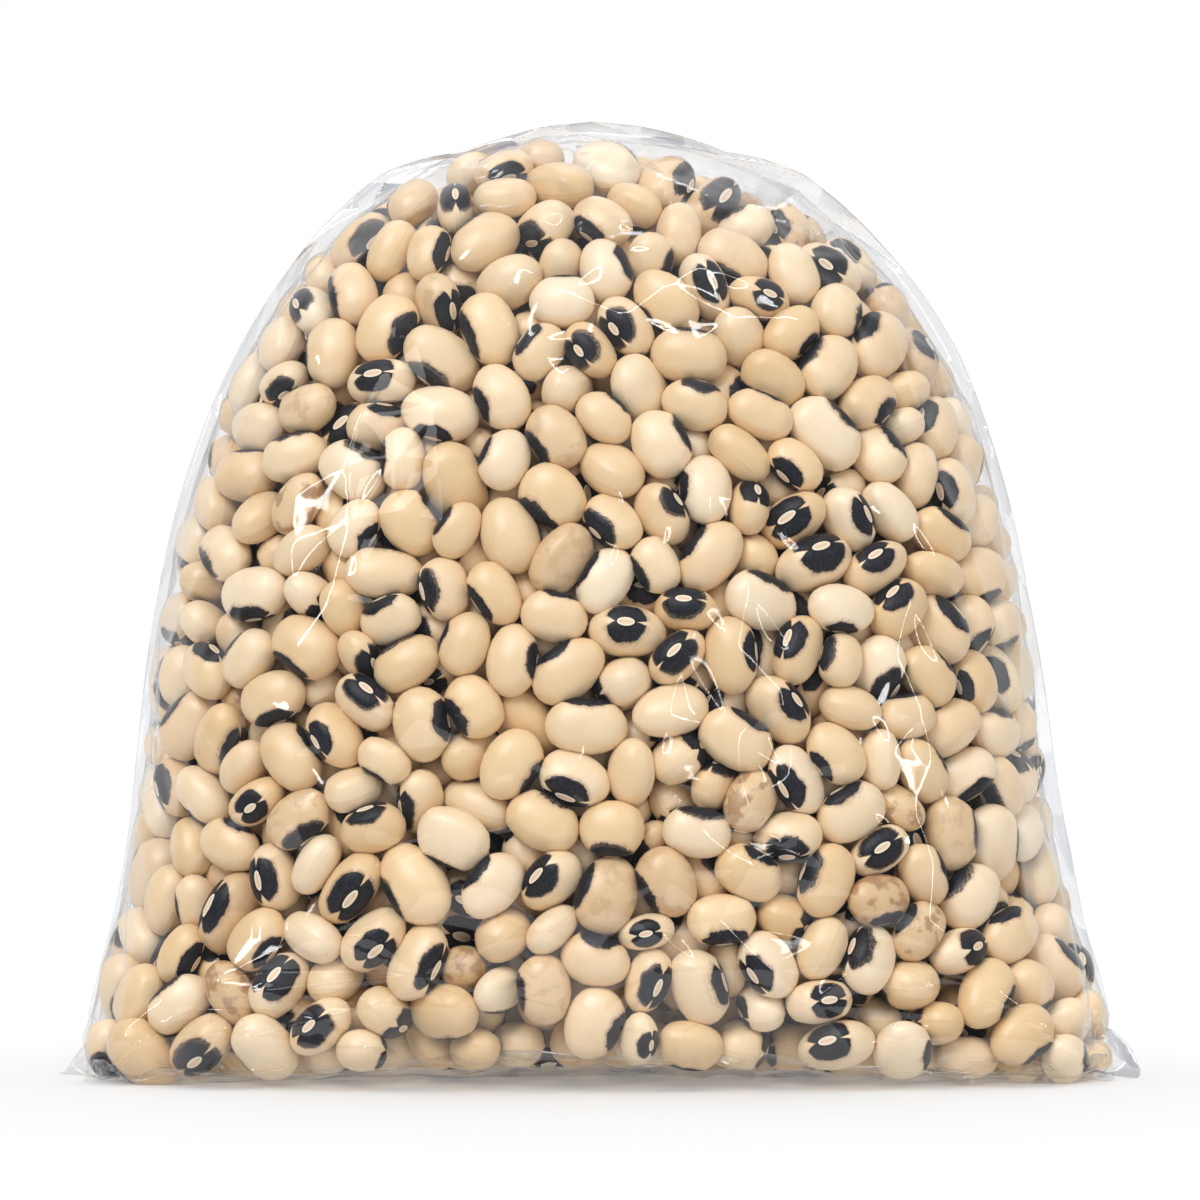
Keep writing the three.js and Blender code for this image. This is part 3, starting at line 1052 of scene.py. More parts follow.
@dataclass(frozen=True)
class BeanShape:
    """One shape of bean, modelled from a cube in edit mode and finished with modifiers."""

    bend: float = 26.0
    square: float = 0.08
    taper: float = 0.06
    hollow: float = 0.07
    stretch: Triple = (1.32, 1.0, 0.86)
    hollow_reach: Pair = (0.5, 0.45)

    def model(self, grade: Grade) -> tuple[Array, "CubeMap", Array]:
        """Models the bean.

        Args:
            grade: How finely.

        Returns:
            Its points in a box from -1 to 1, its faces with their map, and each point's place on a ball.
        """
        bean = squared_cube(grade.value)
        cube = points_of(bean)
        edit(lambda: bpy.ops.transform.tosphere(value=1.0))
        ball = unit(points_of(bean))
        edit(lambda: bpy.ops.transform.resize(value=self.stretch))
        self.shape(bean)
        points, faces = points_of(bean), quads_of(bean)
        bpy.data.meshes.remove(bean.data)
        low, high = points.min(axis=0), points.max(axis=0)
        points = (points - (low + high) / 2) * 2 / (high - low)
        return points, CubeMap(cube, faces), ball

    def shape(self, bean: bpy.types.Object) -> None:
        """Squares the ends a little, bends the bean and presses in its scar side."""
        steps = (
            ("CAST", {"cast_type": "CUBOID", "factor": self.square}),
            (
                "SIMPLE_DEFORM",
                {"deform_method": "BEND", "deform_axis": "Z", "angle": math.radians(-self.bend)},
            ),
            ("SIMPLE_DEFORM", {"deform_method": "TAPER", "deform_axis": "X", "factor": self.taper}),
        )
        for kind, settings in steps:
            modifier = bean.modifiers.new("shaped", kind)
            for name, value in settings.items():
                setattr(modifier, name, value)
            bpy.ops.object.modifier_apply(modifier="shaped")
        points = points_of(bean)
        along, across = self.hollow_reach
        nearness = np.exp(-((points[:, 0] / along) ** 2) - ((points[:, 2] / across) ** 2))
        front = points[:, 1] < 0.3 * points[:, 1].min()
        points[:, 1] += np.where(front, self.hollow * nearness, 0)
        bean.data.vertices.foreach_set("co", points.ravel())


@dataclass(frozen=True)
class CubeMap:
    """A flat map of a bean: the six sides of its start cube in two rows of three."""

    cube: Array
    faces: Array
    border: float = 0.04

    def tiles(self) -> Array:
        """Returns two values from 0 to 1 for each corner of each face."""
        corners = self.cube[self.faces]
        middle = corners.mean(axis=1)
        axis = np.abs(middle).argmax(axis=1)
        positive = np.take_along_axis(middle, axis[:, None], 1)[:, 0] > 0
        rest = np.array([[1, 2], [0, 2], [0, 1]])[axis]
        flat = np.take_along_axis(corners, rest[:, None, :].repeat(4, axis=1), 2)
        flat = self.border + (1 - 2 * self.border) * (flat + 1) / 2
        return (flat + np.stack([axis, positive], axis=1)[:, None, :]) / [3, 2]


@dataclass
class BeanKind:
    """All the beans of one kind, as one piece."""

    name: str
    coat: BeanCoat
    members: Array
    floor_gap: float = 0.12 * MM
    map_shape: float = 1.5

    def build(
        self, heap: Heap, models: dict, choice: Array, grades: Array, chances: Array
    ) -> bpy.types.Object:
        """Joins the kind's beans into one mesh.

        Args:
            heap: Where the beans lie.
            models: The modelled shapes by shape number and grade.
            choice: Each bean's shape number.
            grades: Each bean's grade.
            chances: Each bean's draw from 0 to 1.

        Returns:
            The piece.
        """
        points, quads, balls, draws, maps = [], [], [], [], []
        columns = math.ceil(math.sqrt(len(self.members) / self.map_shape))
        rows = math.ceil(len(self.members) / columns)
        count = 0
        for number, bean in enumerate(self.members):
            shape, flat, ball = models[choice[bean], grades[bean]]
            placed = (shape * heap.halves[bean]) @ heap.turns[bean].T + heap.places[bean]
            placed[:, 2] = np.maximum(placed[:, 2], self.floor_gap)
            points.append(placed)
            quads.append(flat.faces + count)
            balls.append(ball)
            draws.append(np.full(len(shape), chances[bean]))
            tile = np.array([number % columns, number // columns])
            maps.append((models["tiles", grades[bean]] + tile) / [columns, rows])
            count += len(shape)
        piece = mesh_object(self.name, np.concatenate(points), np.concatenate(quads))
        place = piece.data.attributes.new(PLACE, "FLOAT_VECTOR", "POINT")
        place.data.foreach_set("vector", np.concatenate(balls).astype(np.float32).ravel())
        set_share(piece, CHANCE, np.concatenate(draws))
        set_map(piece, np.concatenate(maps))
        piece.data.materials.append(self.coat.material())
        return piece


@dataclass
class Beans:
    """The beans that show, sorted into kinds."""

    heap: Heap
    seed: int = 11
    skin_gap: float = 1.3 * MM
    second_gap: float = 6.5 * MM
    third_gap: float = 12.5 * MM
    eye_share: float = 0.64
    shapes: tuple[BeanShape, ...] = (
        BeanShape(),
        BeanShape(bend=44, square=0.05, taper=0.08, hollow=0.1),
        BeanShape(bend=18, square=0.09, taper=-0.06, hollow=0.06),
        BeanShape(bend=26, square=0.13, taper=0.04),
        BeanShape(bend=36, square=0.04, taper=-0.12, hollow=0.08),
        BeanShape(bend=12, square=0.07, taper=0.14, hollow=0.04),
    )
    kinds: tuple[tuple[str, BeanCoat, float], ...] = (
        ("cream_beans", BeanCoat("cream_coat", linear(240, 217, 182), linear(225, 194, 149)), 0.27),
        ("buff_beans", BeanCoat("buff_coat", linear(235, 208, 170), linear(219, 185, 137)), 0.25),
        ("pale_beans", BeanCoat("pale_coat", linear(242, 222, 192), linear(229, 202, 162)), 0.2),
        ("golden_beans", BeanCoat("golden_coat", linear(236, 207, 163), linear(219, 184, 135)), 0.2),
        ("tan_beans", BeanCoat("tan_coat", linear(228, 199, 158), linear(208, 174, 130), 0.25), 0.06),
        ("stained_beans", BeanCoat("stained_coat", linear(230, 202, 160), linear(202, 166, 120), 0.7), 0.02),
    )
    pieces: list[bpy.types.Object] = field(default_factory=list)

    def build(self) -> None:
        """Grades and sorts the beans, and builds each kind."""
        rng = np.random.default_rng(self.seed)
        heap = self.heap
        gaps = heap.gaps()
        self.face_eyes(rng)
        front = heap.places[:, 1] < heap.room.form.weld(heap.places[:, 2])
        grades = np.where(gaps < self.skin_gap, Grade.PLAIN, Grade.COARSE)
        grades = np.where((gaps < self.skin_gap) & front, Grade.FINE, grades)
        grades = np.where((gaps >= self.skin_gap) & (gaps < self.second_gap) & front, Grade.PLAIN, grades)
        shown = np.nonzero(gaps < self.third_gap)[0]
        choice = rng.integers(len(self.shapes), size=heap.count)
        chances = rng.random(heap.count)
        models = {
            (number, grade): shape.model(grade)
            for number, shape in enumerate(self.shapes)
            for grade in Grade
        }
        for grade in Grade:
            models["tiles", grade] = models[0, grade][1].tiles()
        ends = np.cumsum([share for _, _, share in self.kinds])
        draws = np.searchsorted(ends / ends[-1], rng.random(heap.count))
        for number, (name, coat, _) in enumerate(self.kinds):
            kind = BeanKind(name, coat, shown[draws[shown] == number])
            piece = kind.build(heap, models, choice, grades, chances)
            self.pieces.append(piece)
            LOG.info("%s: %d beans, %d faces", name, len(kind.members), len(piece.data.polygons))

    def face_eyes(self, rng: np.random.Generator) -> None:
        """Turns each bean half round its length where that brings the wanted share of eyes out."""
        heap = self.heap
        out = heap.room.outward(heap.places)
        facing = np.einsum("ni,ni->n", -heap.turns[:, :, 1], out) > 0
        wanted = rng.random(heap.count) < self.eye_share
        heap.turns[facing != wanted, :, 1:] *= -1


# The core


@dataclass
class Core:
    """The middle of the heap, behind the beans that are modelled."""

    room: Room
    inset: float = 11 * MM
    squares: int = 40
    bump_size: float = 7 * MM
    bump_height: float = -2.5 * MM
    bump_middle: float = 0.3

    def build(self) -> bpy.types.Object:
        """Models the core from a cube, rounded and drawn out to the inside of the heap."""
        core = squared_cube(self.squares)
        core.name = core.data.name = "deep_core"
        edit(lambda: bpy.ops.transform.tosphere(value=1.0))
        inner = self.room.form.surface(
            unit(points_of(core)), lambda places: self.room.depth(places) > -self.inset
        )
        core.data.vertices.foreach_set("co", inner.ravel())
        bumps = bpy.data.textures.new("bean_bumps", "VORONOI")
        bumps.noise_scale = self.bump_size
        lumpy = core.modifiers.new("lumpy", "DISPLACE")
        lumpy.texture = bumps
        lumpy.texture_coords = "LOCAL"
        lumpy.strength = self.bump_height
        lumpy.mid_level = self.bump_middle
        bpy.ops.object.modifier_apply(modifier="lumpy")
        bpy.data.textures.remove(bumps)
        bpy.ops.object.shade_smooth()
        core.data.materials.clear()
        core.data.materials.append(CoreFinish().material())
        return core


# The film


@dataclass
class FilmSheet:
    """One sheet of film, drawn tight over the beans that it touches."""

    name: str
    side: Side
    form: BagForm
    count: int
    touch: BVHTree
    seed: int = 3
    lift: float = 0.06 * MM
    probe: float = 4 * MM
    window: float = 2.6 * MM
    reach: float = 2.2 * MM
    sag: float = 0.3 * MM
    unrest: float = 0.22 * MM
    whitened_and_highlit_gaps: Pair = (0.1 * MM, 0.5 * MM)
    edge_points: int = 26
    rim_points: int = 4
    crease_depth: float = 0.75 * MM
    crease_limit: float = 0.15 * MM
    crease_size: float = 5.5 * MM
    pleat_shade_limit: float = 0.11 * MM
    foot_looseness: float = 0.6
    crease_middle: float = 0.4
    crease_sway: float = 0.8
    fine_share: float = 0.2
    foot_share: float = 0.5
    crease_length: float = 1.6
    fine_scales: Pair = (2.3, 2.1)
    crest_creases: Pair = (0.8, 0.97)
    foot_creases: Pair = (0.02, 0.1)
    crest_loose: Pair = (0.8, 0.88)
    foot_loose: Pair = (0.035, 0.08)
    merge_gap: float = 1e-4
    slip: float = 1e-6
    dip_scale: int = 27

    def build(self) -> bpy.types.Object:
        """Drapes the sheet and makes it a piece."""
        grid = self.form.sheet(self.side, self.count)
        normals = self.normals(grid)
        stops = self.stops(grid, normals)
        tight = self.draw_tight(grid, normals, stops)
        points = grid + normals * tight[..., None]
        points[..., 2] = np.maximum(points[..., 2], self.lift)
        # how sharply the film folds, which sets its white creases: partly whitening, partly painted
        # highlight
        creases, share = self.creases(grid), self.rim_share()
        folded = ridges(creases, self.crease_limit, self.crease_limit) * share
        folded *= smoothstep(*self.whitened_and_highlit_gaps, tight - stops)
        folded *= self.loose_share(grid[..., 2])
        quads = grid_quads(self.count, self.count)
        if self.side is Side.BACK:
            quads = quads[:, ::-1]
        piece = mesh_object(self.name, points.reshape(-1, 3), quads)
        places = np.stack([quads % self.count, quads // self.count], axis=-1) / (self.count - 1)
        set_map(piece, places)
        set_share(piece, CREASE, folded)
        # painted shade: grey on the side of each fold that leans one way
        doubled_shade = lean_shade_share(creases, self.pleat_shade_limit) * share
        set_share(piece, PLEAT_SHADE, doubled_shade * self.loose_share(grid[..., 2]))
        return piece

    def loose_share(self, z: Array) -> Array:
        """Returns how loosely the film hangs: most over the crest, some at the foot, 0 between."""
        crest = self.form.rise(z, *self.crest_loose)
        return np.maximum(crest, self.foot_looseness * (1 - self.form.rise(z, *self.foot_loose)))

    def normals(self, grid: Array) -> Array:
        """Returns the outward normals of the grid."""
        along, up = np.gradient(grid, axis=1), np.gradient(grid, axis=0)
        ways = unit(np.cross(along, up))
        return ways if self.side is Side.FRONT else -ways

    def stops(self, grid: Array, normals: Array) -> Array:
        """Returns how far in the first bean stops the film at each point."""
        starts = (grid + normals * self.probe).reshape(-1, 3).tolist()
        ways = (-normals).reshape(-1, 3).tolist()
        reach = 3 * self.probe
        hits = [self.touch.ray_cast(start, way, reach)[3] for start, way in zip(starts, ways)]
        gaps = np.array([reach if hit is None else hit for hit in hits])
        return self.lift + self.probe - gaps.reshape(grid.shape[:2])

    def draw_tight(self, grid: Array, normals: Array, stops: Array) -> Array:
        """Stretches flat facets between the points where beans push the film out.

        Args:
            grid: The body's surface.
            normals: Its outward normals.
            stops: How far in the beans stop the film.

        Returns:
            The film's place along the normals.
        """
        rng = np.random.default_rng(self.seed)
        rows, columns = self.contacts(grid, stops)
        heights = np.maximum(stops[rows, columns], -self.reach)
        heights = heights + self.unrest * np.abs(rng.standard_normal(len(heights)))
        edge = np.zeros((self.count, self.count), bool)
        stride = max(1, self.count // self.edge_points)
        edge[0, ::stride] = edge[-1, ::stride] = edge[::stride, 0] = edge[::stride, -1] = True
        edge[0, -1] = edge[-1, -1] = edge[-1, 0] = True
        edge_rows, edge_columns = np.nonzero(edge)
        rows = np.concatenate([rows, edge_rows])
        columns = np.concatenate([columns, edge_columns])
        heights = np.concatenate([heights, np.zeros(len(edge_rows))])
        corners = grid[rows, columns] + normals[rows, columns] * heights[:, None]
        tight = self.facets(grid, normals, rows, columns, corners, rng)
        loose = self.creases(grid)
        tight = np.maximum(tight + loose, stops)
        rim = self.rim_share()
        inner = tight[1:-1, 1:-1]
        mean = (tight[:-2, 1:-1] + tight[2:, 1:-1] + tight[1:-1, :-2] + tight[1:-1, 2:]) / 4
        tight[1:-1, 1:-1] = np.maximum(inner + 0.5 * (mean - inner), stops[1:-1, 1:-1])
        return tight * rim + loose * (1 - rim)

    def creases(self, grid: Array) -> Array:
        """Returns the loose film's creases: crumpled over the crest, and a little along the foot."""
        rng = np.random.default_rng(self.seed + 1)
        height = self.form.height
        x, z = grid[..., 0], grid[..., 2]
        centre = self.crease_middle * height
        turn = np.arctan2(z - centre, x) * (height - centre) / self.crease_size
        out = np.hypot(x, z - centre) / self.crease_size * self.crease_length
        cells = 2 * math.ceil(math.pi * (height - centre) / self.crease_size)
        sway = facet_relief(turn / 2, out / 2, cells, rng)
        crumple = facet_relief(turn + self.crease_sway * sway, out + self.crease_sway * sway, cells, rng)
        along, aside = self.fine_scales
        fine = facet_relief(along * turn, aside * out + sway, 3 * cells, rng)
        crest = self.form.rise(z, *self.crest_creases)
        foot = 1 - self.form.rise(z, *self.foot_creases)
        share = crest + self.foot_share * foot
        return self.crease_depth * (crumple + self.fine_share * fine) * share

    def rim_share(self) -> Array:
        """Returns 0 on the weld, rising to 1 a little way in."""
        place = np.arange(self.count)
        inward = np.minimum(place, self.count - 1 - place)
        return smoothstep(0, self.rim_points, np.minimum(inward[:, None], inward[None, :]).astype(float))

    def contacts(self, grid: Array, stops: Array) -> tuple[Array, Array]:
        """Finds the points where a bean reaches furthest out in its neighbourhood."""
        pitch = np.linalg.norm(np.diff(grid, axis=1), axis=2).mean()
        window = max(2, int(self.window / pitch))
        highest = stops
        for axis in (0, 1):
            shifted = [np.roll(highest, step, axis=axis) for step in range(-window, window + 1)]
            highest = np.max(shifted, axis=0)
        found = (stops >= highest) & (stops > -self.reach)
        found[: window + 1], found[-window - 1 :] = False, False
        found[:, : window + 1], found[:, -window - 1 :] = False, False
        return np.nonzero(found)

    def facets(
        self,
        grid: Array,
        normals: Array,
        rows: Array,
        columns: Array,
        corners: Array,
        rng: np.random.Generator,
    ) -> Array:
        """Spans flat triangles between the touching points.

        Args:
            grid: The body's surface.
            normals: Its outward normals.
            rows: Each touching point's row.
            columns: Each touching point's column.
            corners: Each touching point's place.
            rng: The source of draws.

        Returns:
            The facets' place along the normals.
        """
        flat = [Vector((float(c), float(r))) for r, c in zip(rows, columns)]
        spots, _, faces, sources, _, _ = geometry.delaunay_2d_cdt(flat, [], [], 0, self.merge_gap)
        tight = np.zeros((self.count, self.count))
        for face in faces:
            a, b, c = (np.array(spots[k]) for k in face)
            places = corners[[sources[k][0] for k in face]]
            low = np.maximum(np.floor(np.minimum(np.minimum(a, b), c)).astype(int), 0)
            high = np.minimum(np.ceil(np.maximum(np.maximum(a, b), c)).astype(int), self.count - 1)
            x, y = np.meshgrid(np.arange(low[0], high[0] + 1), np.arange(low[1], high[1] + 1))
            area = (b[0] - a[0]) * (c[1] - a[1]) - (c[0] - a[0]) * (b[1] - a[1])
            if abs(area) < TINY:
                continue
            second = ((x - a[0]) * (c[1] - a[1]) - (c[0] - a[0]) * (y - a[1])) / area
            third = ((b[0] - a[0]) * (y - a[1]) - (x - a[0]) * (b[1] - a[1])) / area
            shares = np.stack([1 - second - third, second, third], axis=-1)
            inside = shares.min(axis=-1) >= -self.slip
            y, x, shares = y[inside], x[inside], shares[inside]
            spots_here = shares @ places
            height = np.sum((spots_here - grid[y, x]) * normals[y, x], axis=-1)
            dip = self.sag * rng.random() * np.prod(shares, axis=-1) * self.dip_scale
            tight[y, x] = height - dip
        return tight


@dataclass
class FilmEdge:
    """The welded edge: two films that meet in a thin rim, crinkled over the crest, with two ears."""

    form: BagForm
    seed: int = 5
    steps: int = 2000
    rows: int = 17
    cells: int = 48
    crest_crinkle: float = 2.4 * MM
    ear_crinkle: float = 1.3 * MM
    foot_crinkle: float = 1.0 * MM
    side_crinkle: float = 0.55 * MM
    outline_wave: float = 0.4 * MM
    # painted highlight along the film's outer rim
    rim_highlight: float = 0.7
    crease_limits: Pair = (0.05 * MM, 0.11 * MM)
    pleat_shade_limit: float = 0.04 * MM
    gap: float = 0.5 * MM
    sways: Pair = (0.8, 0.5)
    crumple_rows: float = 1.3
    root_depth: float = 0.8 * MM
    floor_gap: float = 0.05 * MM
    smoothings: int = 6
    arch_half_width: float = 0.4355
    arch_flare: float = 0.93
    top_gap: float = 0.2 * MM
    ear_top: float = 8 * MM
    tip_height: float = 0.7 * MM
    brow_height: float = 3.8 * MM
    notch_height: float = 6.6 * MM
    hem_height: float = 0.5 * MM
    shoulder_places: tuple[float, ...] = (0.0, 0.17, 0.3, 0.37, 0.46, 0.54, 0.64, 0.8)
    shoulder_pushes: tuple[float, ...] = (-0.1, -1.05, -1.6, -0.6, 0.4, 0.3, -0.1, -0.3)
    right_heights: tuple[float, ...] = (8, 18, 28, 44, 60, 76, 90, 100, 108)
    right_pushes: tuple[float, ...] = (0.0, 0.4, 0.95, 0.5, 0.0, 0.3, 0.95, 0.5, 0.0)
    ears: tuple[tuple[int, float, float], ...] = ((-1, 2.3, 2.3), (1, 1.5, 0.9))
    arch_points: int = 60
    hem_points: int = 13
    hem_reach: float = 0.9
    thickness_power: float = 1.5
    shoulder_range: Pair = (0.6, 0.75)
    crest_range: Pair = (0.72, 1.0)
    ear_range: Pair = (0.03, 0.12)
    ear_start: float = 0.8
    foot_range: Pair = (3 * MM, 6 * MM)
    foot_reach: float = 0.85

    def outer_line(self) -> Array:
        """Returns the outer line: up the left side, over the crest, down the right, along the foot."""
        form = self.form
        ear = form.width / 2 - self.top_gap
        rise = np.sin(np.linspace(0, math.pi / 2, self.arch_points))
        z = self.ear_top + (form.height - self.top_gap - self.ear_top) * rise
        arch = self.arch_half_width * form.width * form.arch_share(z, form.height, form.front_powers)
        arch = arch + form.flare_at(z, self.arch_flare * form.flare)
        weld = float(form.weld(np.zeros(1))[0])
        sides = []
        for side, brow_in, notch_in in self.ears:
            line = np.stack([form.lean(z) + side * arch, form.weld(z), z], axis=1)
            tip = [side * ear, weld, self.tip_height]
            brow = [side * (ear - brow_in * MM), weld, self.brow_height]
            notch = [side * (arch[0] - notch_in * MM), weld, self.notch_height]
            sides.append(np.concatenate([[tip, brow, notch], line]))
        return np.concatenate([sides[0], sides[1][::-1][1:], self.hem()])

    def hem(self) -> Array:
        """Returns the line of the foot from right to left, which bulges forward in the middle."""
        form = self.form
        bulge, sweep = 0.114 * form.half_depth, 0.229 * form.half_depth
        shares = np.linspace(self.hem_reach, -self.hem_reach, self.hem_points)
        x = shares * (form.half_width + form.flare)
        y = form.edge_radius - form.half_depth
        y = y - bulge * (1 - shares**2) + sweep * shares**4
        return np.stack([x, y, form.underside(x, y) + self.hem_height], axis=1)

    def shoulders(self, line: Array) -> Array:
        """Pushes the crest out to its two shoulders and draws it in between them, as the film hangs."""
        form = self.form
        aside = np.abs(line[:, 0] - form.lean(line[:, 2])) / form.half_width
        push = np.interp(aside, self.shoulder_places, self.shoulder_pushes) * MM
        loose = np.interp(line[:, 2] / MM, self.right_heights, self.right_pushes) * MM
        turns = np.arange(len(line)) / len(line) * self.cells / 2
        push += self.outline_wave * facet_relief(turns, np.zeros(1), self.cells // 2, self.draws())
        push *= form.rise(line[:, 2], *self.shoulder_range) + self.foot_share(line)
        push += np.where(line[:, 0] > 0, loose, 0)
        ways = onward(line)
        outward = np.stack([-ways[:, 2], np.zeros(len(line)), ways[:, 0]], axis=1)
        return line + outward * push[:, None]

    def foot_share(self, line: Array) -> Array:
        """Returns 1 along the foot between the ears and 0 elsewhere."""
        reach = self.foot_reach * self.form.half_width
        low = 1 - smoothstep(*self.foot_range, line[:, 2])
        return low * (1 - smoothstep(reach, 1.1 * reach, np.abs(line[:, 0])))

    def draws(self) -> np.random.Generator:
        """Returns a fresh source of draws."""
        return np.random.default_rng(self.seed)

    def even(self, line: Array) -> Array:
        """Spaces points evenly along a closed line."""
        closed = np.concatenate([line, line[:1]])
        lengths = np.concatenate([[0], np.cumsum(np.linalg.norm(np.diff(closed, axis=0), axis=1))])
        wanted = np.linspace(0, lengths[-1], self.steps, endpoint=False)
        even = np.stack([np.interp(wanted, lengths, closed[:, k]) for k in range(3)], axis=1)
        for _ in range(self.smoothings):
            even = (np.roll(even, 1, axis=0) + 2 * even + np.roll(even, -1, axis=0)) / 4
        return even

    def inner_line(self, outer: Array) -> Array:
        """Returns the line a little inside the body from which the edge springs."""
        form = self.form
        upright = outer.copy()
        upright[:, 0] -= form.lean(outer[:, 2])
        upright[:, 1] -= form.weld(outer[:, 2])
        inner = form.surface(unit((upright - form.centre) / form.scale))
        return inner + self.root_depth * unit(form.centre - inner)

    def build(self) -> bpy.types.Object:
        """Builds the edge as one folded strip."""
        outer = self.shoulders(self.even(self.outer_line()))
        inner = self.inner_line(outer)
        across = unit(np.cross(onward(outer), outer - inner))
        rng = self.draws()
        shared = self.crumple(rng)
        strips, folded, doubled_shade = [], [], []
        shares = np.linspace(0, 1, self.rows)
        for face in (-1, 1):
            own = self.crumple(rng)
            rows = range(self.rows) if face < 0 else range(self.rows - 2, -1, -1)
            wave = shares[:, None] * shared + (shares * (1 - shares))[:, None] * own
            wave = wave * self.crinkle_size(outer)
            # sharp folds of the edge get white: partly the film's whitening, partly painted highlight
            whitened_and_highlit = ridges(wave, *self.crease_limits)
            # painted shade: grey on the side of each edge fold that leans one way
            pleat_shaded = lean_shade_share(wave, self.pleat_shade_limit)
            for row in rows:
                thick = face * self.gap / 2 * (1 - shares[row]) ** self.thickness_power
                aside = across * (wave[row] + thick)[:, None]
                strips.append(inner + (outer - inner) * shares[row] + aside)
                # the outermost row gets a painted highlight along the film's rim
                folded.append(np.maximum(whitened_and_highlit[row], self.rim_highlight * (row == self.rows - 1)))
                doubled_shade.append(pleat_shaded[row])
        points = np.stack(strips)
        points[..., 2] = np.maximum(points[..., 2], self.floor_gap)
        rows = len(strips)
        quads = grid_quads(rows, self.steps, closed=True)
        piece = mesh_object("film_edge", points.reshape(-1, 3), quads)
        column = quads % self.steps
        column = np.where((column == 0) & (np.arange(4) % 3 > 0), self.steps, column)
        set_map(piece, np.stack([column / self.steps, quads // self.steps / (rows - 1)], axis=-1))
        set_share(piece, CREASE, np.stack(folded))
        set_share(piece, PLEAT_SHADE, np.stack(doubled_shade))
        return piece

    def crumple(self, rng: np.random.Generator) -> Array:
        """Returns the film's sideways crumple on each row and step of the edge, from about -1 to 1."""
        turn = np.arange(self.steps) / self.steps
        share = np.linspace(0, 1, self.rows)[:, None]
        sway = facet_relief(turn * self.cells / 2, share, self.cells // 2, rng)
        along, across = (reach * sway for reach in self.sways)
        return facet_relief(turn * self.cells + along, self.crumple_rows * share + across, self.cells, rng)

    def crinkle_size(self, outer: Array) -> Array:
        """Returns how strongly the film is crumpled along the edge: most at the crest and ears."""
        half_width = self.form.half_width
        crest = self.form.rise(outer[:, 2], *self.crest_range)
        ear = 1 - self.form.rise(outer[:, 2], *self.ear_range)
        ear = ear * smoothstep(self.ear_start * half_width, half_width, np.abs(outer[:, 0]))
        size = self.side_crinkle
        shares = (crest, self.foot_share(outer), ear)
        for most, share in zip((self.crest_crinkle, self.foot_crinkle, self.ear_crinkle), shares):
            size = size + (most - self.side_crinkle) * share
        return size


# The studio


